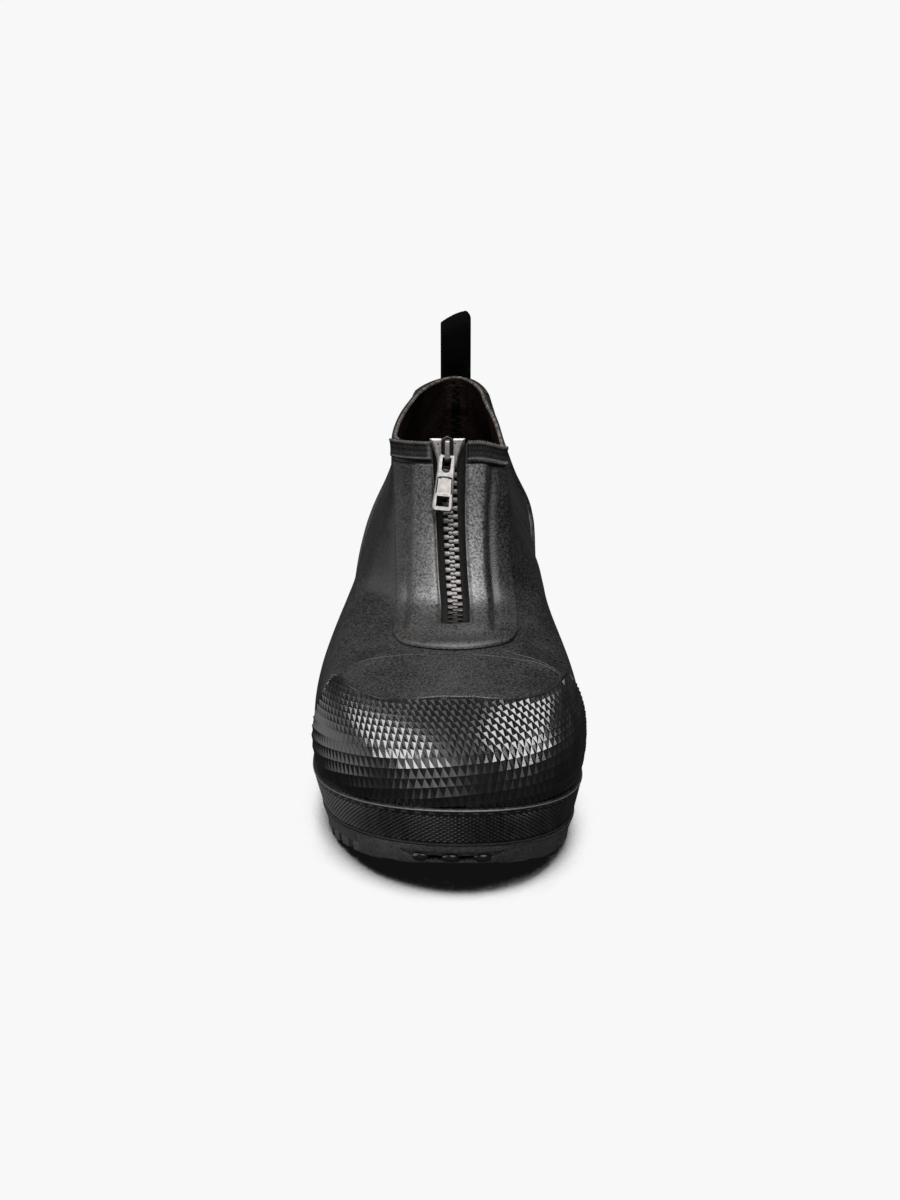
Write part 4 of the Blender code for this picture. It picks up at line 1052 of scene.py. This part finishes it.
# The zip teeth are moulded, with round heads, clamped over the tapes' edges and meshed side by side.
# They are silvered, and painted a dark brown towards the foot of the zip as painted shade.
TOOTH_PITCH = 3.8
TEETH_FOOT = 1.5
TEETH_HEAD = 4.8
TOOTH_TOP = 0.55
TOOTH_FOOT = -1.9
HEAD_X, HEAD_RADIUS = 0.42, 0.92
NECK_X, NECK_HALF = -0.75, 0.58
BODY_X, BODY_END, BODY_HALF = -1.25, -3.3, 1.1
TOOTH_SHADE_BROWN, TOOTH_SILVER = (0.012, 0.009, 0.007), (0.098, 0.090, 0.086)
SHADE_SPREAD, SHADE_END, SILVER_START = 18.0, 8.0, 24.0
SMALL_STEP = 0.03
silver, wire, inputs = material("tooth_silver", Metallic=0.55)
climb = wire.lay(1)
spots = wire.noise(wire.place(), 500.0, 3.0)
# Painted shade: the teeth darken to brown towards the foot of the zip
shade = (climb + (spots - 0.5) * SHADE_SPREAD).step(SHADE_END, SILVER_START)
wire.feed(inputs["Base Color"], shade.mix(TOOTH_SHADE_BROWN, TOOTH_SILVER))
wire.feed(inputs["Roughness"], 0.30 + spots * 0.2)
turn = np.linspace(-0.70 * math.pi, 0.70 * math.pi, 11)
outline = [(HEAD_X + HEAD_RADIUS * math.cos(t), HEAD_RADIUS * math.sin(t)) for t in turn]
outline += [(NECK_X, NECK_HALF), (BODY_X, BODY_HALF), (BODY_END, BODY_HALF)]
outline += [(BODY_END, -BODY_HALF), (BODY_X, -BODY_HALF), (NECK_X, -NECK_HALF)]
outline = np.array(outline)
low, high = (np.column_stack([outline, np.full(len(outline), z)]) for z in (TOOTH_FOOT, TOOTH_TOP))
tooth = bevelled(prism(low, high), 0.22, 2, 60.0)


def slot_axes(ring):
    """Directions across the slot to the right, up along it and out of it."""
    across = unit(on_last(RIGHT, ring, 0.0) - on_last(LEFT, ring, 0.0))
    climb = across_slot(ring + SMALL_STEP, 0.0, 0.0) - across_slot(ring - SMALL_STEP, 0.0, 0.0)
    return across, unit(climb), unit(np.cross(across, climb))


stops = np.linspace(ZIP_FOOT, COLLAR, 600)
zip_way = lengths(across_slot(stops, 0.0, 0.0))
teeth, tooth_lay = [], []
for count, gone in enumerate(np.arange(TEETH_FOOT + 1.0, zip_way[-1] - TEETH_HEAD, TOOTH_PITCH / 2)):
    side = LEFT if count % 2 else RIGHT
    ring = np.interp(gone, zip_way, stops)
    origin = across_slot(ring, 0.0, 0.0)
    local = tooth[0] * (-side, 1.0, 1.0)
    teeth.append((origin + local @ np.stack(slot_axes(ring)), tooth[1]))
    tooth_lay.append(np.column_stack([local[:, 0], np.full(len(local), gone), local[:, 2]]))
piece("moulded_teeth", joined(teeth), [silver], lay=np.concatenate(tooth_lay),
      stands_for=("zip_teeth",))

# The slider is nickelled die-cast zinc: two winged plates on a neck, with a bridge for the pull tab.
# A sunk channel runs under the bridge, and two small punch marks lie in the wings. The channel, the plate's
# side walls and the punch marks are painted near-black as painted shade.
SLIDER_DROP = 3.6
PLATE_FACE, PLATE_UNDER = 2.4, 0.9
BACK_FACE, BACK_UNDER = -4.9, -6.4
PLATE_SIDES = ((-7.6, 4.2), (-3.5, 5.0), (1.0, 6.5), (3.8, 7.7), (5.2, 7.9))
PLATE_PEAK, PLATE_PEAK_HALF = 1.3, 2.2
PLATE_HALF = 6.0
CHANNEL_HALF, CHANNEL_DEPTH = 2.7, 1.1
NECK_BLOCK = ((-1.5, 0.6), (1.5, 0.6), (1.5, 4.8), (-1.5, 4.8))
BRIDGE_OUTLINE = ((4.4, 1.0), (4.2, 5.2), (3.2, 6.2), (-4.8, 6.2), (-5.8, 5.2), (-6.0, 1.0),
                  (-4.6, 1.0), (-4.4, 4.6), (3.0, 4.6), (3.1, 1.0))
BRIDGE_HALF = 1.15
PUNCH_MARKS, PUNCH_RADIUS = ((-4.1, 2.6), (3.6, 2.8)), 0.38
NICKEL_DARK, NICKEL_LIGHT = (0.155, 0.145, 0.141), (0.265, 0.249, 0.242)
PAINTED_SHADE_DARK, PAINTED_SHADE_LIGHT = (0.002, 0.002, 0.002), (0.008, 0.0075, 0.007)
nickel, wire, inputs = material("nickel", Metallic=1.0)
where = wire.place()
haze = wire.noise(where, 350.0, 4.0, 0.6)
wire.feed(inputs["Base Color"], haze.step(0.3, 0.75).mix(NICKEL_DARK, NICKEL_LIGHT))
wire.feed(inputs["Roughness"], 0.34 + haze * 0.2)
wire.feed(inputs["Normal"], wire.bump(wire.noise(where, 1400.0, 2.0), 0.15, 0.0001))
# Painted shade: a near-black finish for the recesses, side walls and holes of the slider and the tab
painted_shade, wire, inputs = material("painted_shade", Roughness=0.8, Specular_IOR_Level=0.1)
wire.feed(inputs["Base Color"], wire.noise(wire.place(), 900.0).mix(PAINTED_SHADE_DARK, PAINTED_SHADE_LIGHT))

slider_ring = below_rim(SLIDER_DROP)
x_axis, _, z_axis = slot_axes(slider_ring)
axes = Matrix((x_axis, np.cross(z_axis, x_axis), z_axis)).transposed().to_4x4()
slider_place = Matrix.Translation(Vector(across_slot(slider_ring, SLIDER_SHIFT, 0.0) - MIDDLE) * MM) @ axes

v = np.linspace(0, 1, 40)[:, None]
x_share = np.linspace(-1, 1, 41)
plate_length = PLATE_SIDES[-1][0] - PLATE_SIDES[0][0]
side_y = PLATE_SIDES[0][0] + plate_length * v
plate_x = x_share * through(PLATE_SIDES, side_y)
peak = PLATE_PEAK * np.clip(1 - np.abs(plate_x) / PLATE_PEAK_HALF, 0, 1)
plate_y = side_y + peak * v
edge = np.minimum((1 - np.abs(x_share)) * PLATE_HALF, np.minimum(v, 1 - v) * plate_length)
channel = ramp(0.0, 0.35, CHANNEL_HALF - np.abs(plate_x)) + 0 * plate_y
face_z = PLATE_FACE - 0.5 * (1 - ramp(0.0, 0.8, edge)) - CHANNEL_DEPTH * channel
face, under, *back = [np.stack([plate_x, plate_y, z + 0 * plate_x], axis=-1)
                      for z in (face_z, PLATE_UNDER, BACK_FACE, BACK_UNDER)]
points, faces, slots = solid(face, under)
# Painted shade: the channel's cells take the near-black finish, and so do the plate's side walls
channel_shade_cell = (channel[:-1, :-1] + channel[1:, 1:] > 1.2).ravel()
slots = np.concatenate([channel_shade_cell, np.equal(slots[len(channel_shade_cell):], 2)]).astype(int)
piece("slider_plate", (points, faces, slots), [nickel, painted_shade], place=slider_place,
      stands_for=("slider",))
neck = [np.array([(x, y, z) for x, y in NECK_BLOCK]) for z in (BACK_UNDER + 0.5, PLATE_UNDER + 0.3)]
bridge = [np.array([(x, y, z) for y, z in BRIDGE_OUTLINE]) for x in (-BRIDGE_HALF, BRIDGE_HALF)]
castings = joined([bevelled(solid(*back), 0.3, 2, 60.0), prism(*neck), bevelled(prism(*bridge), 0.4, 3)])
piece("slider_body", castings, [nickel], place=slider_place)
# The punch marks are near-black discs that stand in for the shade in their holes
marks = [tube(((x, y, PLATE_FACE - 0.5), (x, y, PLATE_FACE + 0.02)), PUNCH_RADIUS, 12)
         for x, y in PUNCH_MARKS]
piece("punch_marks", joined(marks), [painted_shade], place=slider_place)

# The pull tab is a flat nickelled stamping that hangs on the bridge: a raised frame with a round-ended
# slot at the top, a plain sunk plate, and a square hole above its bottom bar.
HINGE = Vector((0.0, -3.2, 3.5))
TAB_LIFT, TAB_LEAN = 9.0, 5.7
TAB_END, TAB_HEAD = -25.65, 0.65
TAB_SIDES = ((TAB_END, 2.9), (-25.45, 3.6), (-24.9, 4.2), (-24.0, 4.55), (-22.5, 4.55), (-18.6, 4.3),
             (-7.8, 3.9), (-1.0, 3.7), (0.0, 3.5), (TAB_HEAD, 3.1))
TAB_FRONT, TAB_BACK = 0.6, -0.6
TAB_SLOT = (-0.7, -7.8, 2.0)
TAB_HOLE = (-18.7, -23.5, 2.85)
TAB_PLATE = (-9.6, -17.9)
TAB_RIM = 0.85
TAB_INSETS, TAB_GAPS = (0.0, 0.12, 0.3, 0.62, TAB_RIM, 1.05, 1.3), (0.25, 0.08, 0.0)
TAB_CLOSED = 1.2
TAB_SUNK = 0.55
TAB_EDGE, TAB_EDGE_REACH = 0.3, 0.45
slot_head, slot_foot, slot_half = TAB_SLOT
hole_head, hole_foot, hole_half = TAB_HOLE
y = np.unique(np.concatenate([np.linspace(TAB_HEAD, TAB_END, 130), np.linspace(slot_foot, slot_foot + 0.5, 6),
                              (slot_head, slot_foot, hole_head, hole_foot)]))[::-1]
sides_y = through(TAB_SIDES, y)
in_slot = (y <= slot_head) & (y >= slot_foot)
in_hole = (y <= hole_head) & (y >= hole_foot)
round_end = np.clip((y - (slot_foot + slot_half)) / slot_half, -1, 0)
slot_x = slot_half * np.sqrt(np.maximum(1 - round_end ** 2, 0.0))
opening = np.select([in_hole, in_slot], [hole_half, slot_x], TAB_CLOSED)
right_half = [sides_y - inset for inset in TAB_INSETS]
right_half += [np.maximum(opening, 0.02) + gap for gap in TAB_GAPS]
columns = [-x for x in right_half] + right_half[::-1]
tab_x = np.stack(columns, axis=1)
tab_y = y[:, None] + 0 * tab_x
hole_column = len(right_half) - 1
inside = ((in_slot[:-1] & in_slot[1:]) | (in_hole[:-1] & in_hole[1:]))[:, None]
present = ~(inside & (np.arange(tab_x.shape[1] - 1) == hole_column)[None])
from_side = sides_y[:, None] - np.abs(tab_x)
end_gap = np.minimum(TAB_HEAD - tab_y, tab_y - TAB_END)
sunk = ramp(TAB_RIM - 0.1, TAB_RIM + 0.15, from_side)
arch = TAB_PLATE[0] - 0.05 * tab_x ** 2
sunk = sunk * ramp(0.0, 0.3, arch - tab_y) * ramp(0.0, 0.3, tab_y - TAB_PLATE[1])
rounding = TAB_EDGE * (1 - ramp(0.0, TAB_EDGE_REACH, np.minimum(from_side, end_gap)))
tab_grids = [np.stack([tab_x, tab_y, TAB_FRONT - rounding - TAB_SUNK * sunk], axis=-1),
             np.stack([tab_x, tab_y, TAB_BACK + rounding], axis=-1)]
tilt = Matrix.Rotation(math.radians(-TAB_LIFT), 4, "X") @ Matrix.Rotation(math.radians(-TAB_LEAN), 4, "Z")
tab_place = slider_place @ Matrix.Translation(HINGE * MM) @ tilt
points, faces, slots = solid(*tab_grids, present=present)
# Painted shade: the faces of the step round the sunk plate, and the tab's side walls, take the near-black
# finish
corners = np.stack([sunk[:-1, :-1], sunk[:-1, 1:], sunk[1:, :-1], sunk[1:, 1:]])
shaded_step = (np.ptp(corners, axis=0) > 0.35)[present]
slots = np.concatenate([shaded_step, np.equal(slots[len(shaded_step):], 2)]).astype(int)
piece("tab_stamping", (points, faces, slots), [nickel, painted_shade], body="pull_tab", sharp=35.0,
      place=tab_place, stands_for=("pull_tab",))

# The pull loop is black ribbed webbing, folded over and sewn to both faces of the heel.
# It stands up above the collar, and its right end leans down a little.
LOOP_WIDTH = 15.2
LOOP_HALF_THICKNESS = 0.7
LOOP_RISE = 31.0
LOOP_SLANT = 0.42
LOOP_FLATTEN = 10.0
LOOP_PATH = ((3.0, -20.0), (3.0, -10.0), (3.0, 0.0), (4.0, 8.0), (4.6, 18.0), (3.8, 26.5), (0.0, 30.3),
             (-4.0, 26.5), (-4.6, 18.0), (-3.2, 8.0), (-0.3, 0.0), (-0.2, -6.0), (-0.2, -12.0))
LOOP_TIP, LOOP_TIP_DROP = 0.82, 3.4
LOOP_RIB, LOOP_RIB_PITCH = 0.05, 1.5
WEB_DARK, WEB_LIGHT = (0.0006, 0.0006, 0.0006), (0.0025, 0.0024, 0.0022)
webbing, wire, inputs = material("webbing", Roughness=0.9, Specular_IOR_Level=0.03)
across_u, along_v = wire.lay(0), wire.lay(1)
twill = wire.math("SINE", across_u * 4.2 + along_v * 2.0)
fuzz = wire.noise(wire.place(), 900.0, 2.0)
wire.feed(inputs["Base Color"], (fuzz + twill * 0.2).step(0.2, 0.9).mix(WEB_DARK, WEB_LIGHT))
wire.feed(inputs["Normal"], wire.bump(twill + fuzz, 0.5, 0.0002))


def loop_point(x, out, up):
    """Point of the loop, x across from the middle of the heel, following the collar's curve."""
    side = np.where(x > 0, RIGHT, LEFT)
    ring = COLLAR + np.minimum(up, 0.0) / (RINGS[-1].back_z - RINGS[-2].back_z)
    on_curve = on_last(side, ring, 1.0 - reach_at(side, ring, np.abs(x)), out, level=True)
    on_line = on_last(LEFT, ring, 1.0, out, level=True) + x[..., None] * (1.0, 0.0, 0.0)
    over = np.maximum(up, 0.0)
    on_curve[..., 0] = on_line[..., 0]
    place = on_curve + ramp(0.0, LOOP_FLATTEN, over)[..., None] * (on_line - on_curve)
    share = x / LOOP_WIDTH + 0.5
    slant = LOOP_SLANT * LOOP_WIDTH * (share - 0.5 + 0.2 * np.sin(math.pi * share))
    slant = slant - LOOP_TIP_DROP * np.clip((share - LOOP_TIP) / (1 - LOOP_TIP), 0, 1) ** 1.7
    place[..., 2] = on_curve[..., 2] + over + slant * over / LOOP_RISE
    return place


path = np.array(LOOP_PATH)
way = lengths(path)
marks = np.linspace(0, way[-1], 150)
out, up = (smooth(way, path[:, axis], marks)[:, None] for axis in (0, 1))
slope = unit(np.concatenate([np.gradient(out, axis=0), np.gradient(up, axis=0)], axis=1))
x = LOOP_WIDTH / 2 * eased(-1.0, 1.0, 0.0, 61) + 0 * out
edge = LOOP_WIDTH / 2 - np.abs(x)
half = LOOP_HALF_THICKNESS * np.sqrt(np.clip(1 - (1 - np.clip(edge / 0.8, 0, 1)) ** 2, 0.02, 1))
half = half - LOOP_RIB * (1 - np.cos(2 * math.pi * x / LOOP_RIB_PITCH)) * ramp(0.0, 1.0, edge)
faces = [loop_point(x, out + sign * half * slope[:, 1:], up - sign * half * slope[:, :1])
         for sign in (1, -1)]
piece("webbing_loop", solid(*faces), [webbing], sharp=70.0, stands_for=("pull_loop",),
      lay=np.stack([x, marks[:, None] + 0 * x, 0 * x], axis=-1))

# The heel patch is a square of the felt sewn over the loop's inner end, with a black rivet through it.
# A zigzag seam closes the lining down the middle of the heel.
PATCH_HALF = 9.3
PATCH_DROPS = (3.5, 19.5)
PATCH_OVER_LOOP = -3.1
PATCH_EDGE = -2.3
PATCH_THICKNESS = 0.7
PATCH_STITCH, PATCH_PITCH, PATCH_THREAD, PATCH_SEAM = 1.7, 2.4, 0.22, 0.9
RIVET_DROP, RIVET_RADIUS, RIVET_DOME = 14.5, 3.0, 0.9
RIVET_DARK, RIVET_LIGHT = (0.0008, 0.0008, 0.0008), (0.002, 0.002, 0.002)
SEAM_HALF, SEAM_PITCH, SEAM_DROPS, SEAM_RADIUS = 3.2, 3.6, (1.0, 32.0), 0.45


def inside_heel(x, drop, height):
    """Point on the inside of the heel, x across from its middle and a drop below the rim."""
    side = np.where(x > 0, RIGHT, LEFT)
    ring = COLLAR - drop / (RINGS[-1].back_z - RINGS[-2].back_z)
    return on_last(side, ring, 1.0 - reach_at(side, ring, np.abs(x)), height)


def patch_height(x, drop):
    over = 1 - ramp(7.3, PATCH_HALF - 0.2, np.abs(x))
    return PATCH_EDGE + (PATCH_OVER_LOOP - PATCH_EDGE) * over * (1 - ramp(15.0, PATCH_DROPS[1], drop))


def patch_stitch(x, drop):
    """Stitch that arches over the patch along a short line."""
    lift = patch_height(x, drop) - 0.05 - 0.2 * np.sin(np.linspace(0, math.pi, len(x)))
    return tube(inside_heel(x, drop, lift), PATCH_THREAD, 5)


x, drop = np.meshgrid(np.linspace(-PATCH_HALF, PATCH_HALF, 41), np.linspace(*PATCH_DROPS, 34))
height = patch_height(x, drop)
piece("heel_patch", solid(inside_heel(x, drop, height), inside_heel(x, drop, height + PATCH_THICKNESS)),
      [felt])
stitches = []
for x_line in (-PATCH_HALF + PATCH_SEAM, PATCH_HALF - PATCH_SEAM):
    for start in np.arange(PATCH_DROPS[0] + 0.5, PATCH_DROPS[1] - 1.5, PATCH_PITCH):
        stitches.append(patch_stitch(np.full(6, x_line), np.linspace(start, start + PATCH_STITCH, 6)))
for start in np.arange(-PATCH_HALF + 1.0, PATCH_HALF - 2.0, PATCH_PITCH):
    x = np.linspace(start, start + PATCH_STITCH, 6)
    stitches.append(patch_stitch(x, np.full(6, PATCH_DROPS[1] - 0.8)))
rivet_black, wire, inputs = material("rivet_black", Roughness=0.6, Specular_IOR_Level=0.05)
wire.feed(inputs["Base Color"], wire.noise(wire.place(), 800.0).mix(RIVET_DARK, RIVET_LIGHT))
piece("lining_stitches", joined(stitches), [rivet_black], sharp=80.0)
marks = np.arange(SEAM_DROPS[0], SEAM_DROPS[1], SEAM_PITCH / 12)
x = SEAM_HALF * (2 * np.abs(2 * ((marks / SEAM_PITCH) % 1) - 1) - 1)
in_patch = (marks > PATCH_DROPS[0]) & (marks < PATCH_DROPS[1])
lift = np.where(in_patch, patch_height(x, marks), PATCH_EDGE) - 0.25
piece("back_seam", tube(inside_heel(x, marks, lift), SEAM_RADIUS, 6), [rivet_black], sharp=80.0)
shares = np.array((0.0, 0.5, 0.8, 0.95, 1.0))[:, None]
turn = np.linspace(0, 2 * math.pi, 28, endpoint=False)
x, drop = shares * RIVET_RADIUS * np.cos(turn), RIVET_DROP + shares * RIVET_RADIUS * np.sin(turn)
dome = PATCH_OVER_LOOP - 0.2 - RIVET_DOME * np.sqrt(1 - shares ** 2) + 0 * turn
rivet_back = inside_heel(x, drop, PATCH_OVER_LOOP + 0.4)
piece("rivet", solid(inside_heel(x, drop, dome), rivet_back, wrap=True), [rivet_black])

# The studio is a plain pale floor that gives no light, a disc lamp above the toe,
# and a dim sky with soft patches of light overhead and on the left.
FLOOR_HALF = 7.0
FLOOR_PAINTED_SHADOW, FLOOR_PALE = (0.006, 0.006, 0.006), (0.939, 0.939, 0.939)
SHADOW_REACH, SHADOW_EDGE = 0.05, (0.36, 0.58)
floor_mesh = bpy.data.meshes.new("floor")
corners = [(x * FLOOR_HALF, y * FLOOR_HALF, 0.0) for x, y in ((-1, -1), (1, -1), (1, 1), (-1, 1))]
floor_mesh.from_pydata(corners, [], [(0, 1, 2, 3)])
floor = bpy.data.objects.new("floor", floor_mesh)
bpy.context.scene.collection.objects.link(floor)
floor_with_painted_shadow, wire, inputs = material("floor_with_painted_shadow", Base_Color=(0.0, 0.0, 0.0, 1.0), Roughness=0.9,
                                     Specular_IOR_Level=0.0, Emission_Strength=1.0)
# Painted shadow: the floor's glow darkens where ambient occlusion finds the shoe close above it
shade = wire.node("AmbientOcclusion", {"Distance": SHADOW_REACH}, output="AO", samples=16)
wire.feed(inputs["Emission Color"], shade.step(*SHADOW_EDGE).mix(FLOOR_PAINTED_SHADOW, FLOOR_PALE))
floor_mesh.materials.append(floor_with_painted_shadow)
floor.visible_diffuse = False
floor.visible_glossy = False

world = bpy.data.worlds.new("studio")
bpy.context.scene.world = world
world.use_nodes = True
sky = Wire(world.node_tree)
direction = sky.node("TexCoord", output="Generated")
background = world.node_tree.nodes["Background"]
background.inputs["Color"].default_value = (1.0, 1.0, 1.0, 1.0)
SKY_BASE = 0.06
Glow = namedtuple("Glow", "strength towards low high")
GLOWS = (
    Glow(1.75, (0.22, -0.50, 0.838), 0.88, 0.98),
    Glow(0.05, (0.22, -0.79, 0.572), 0.90, 0.98),
    Glow(1.3, (-0.85, 0.05, 0.524), 0.70, 0.95),
    Glow(0.06, (0.0, -0.97, 0.243), 0.2, 0.9),
)
light = SKY_BASE
for patch in GLOWS:
    cosine = sky.node("VectorMath", {0: direction, 1: patch.towards}, output="Value", operation="DOT_PRODUCT")
    light = light + patch.strength * cosine.step(patch.low, patch.high)
sky.feed(background.inputs["Strength"], light)
LAMP_PLACE, LAMP_SIZE, LAMP_POWER = Vector((20.0, -150.0, 640.0)) * MM, 0.5, 5.9
lamp_data = bpy.data.lights.new("lamp", "AREA")
lamp_data.shape = "DISK"
lamp_data.size = LAMP_SIZE
lamp_data.energy = LAMP_POWER
lamp = bpy.data.objects.new("lamp", lamp_data)
lamp.location = LAMP_PLACE
lamp.visible_camera = False
bpy.context.scene.collection.objects.link(lamp)

bpy.context.scene.view_settings.view_transform = "Standard"

CAMERA_AIM = Vector((1.0, -34.8, 87.0)) * MM
CAMERA_ELEVATION = math.radians(19.0)
CAMERA_DISTANCE = 1011.9 * MM
CAMERA_LENS, CAMERA_SENSOR, CAMERA_SHIFT = 68.37, 36.0, 0.005
camera_data = bpy.data.cameras.new("camera")
camera_data.lens = CAMERA_LENS
camera_data.sensor_width = CAMERA_SENSOR
camera_data.shift_y = CAMERA_SHIFT
camera = bpy.data.objects.new("camera", camera_data)
away = Vector((0.0, -math.cos(CAMERA_ELEVATION), math.sin(CAMERA_ELEVATION)))
camera.location = CAMERA_AIM + CAMERA_DISTANCE * away
camera.rotation_mode = "QUATERNION"
camera.rotation_quaternion = (-away).to_track_quat("-Z", "Y")
bpy.context.scene.collection.objects.link(camera)
bpy.context.scene.camera = camera
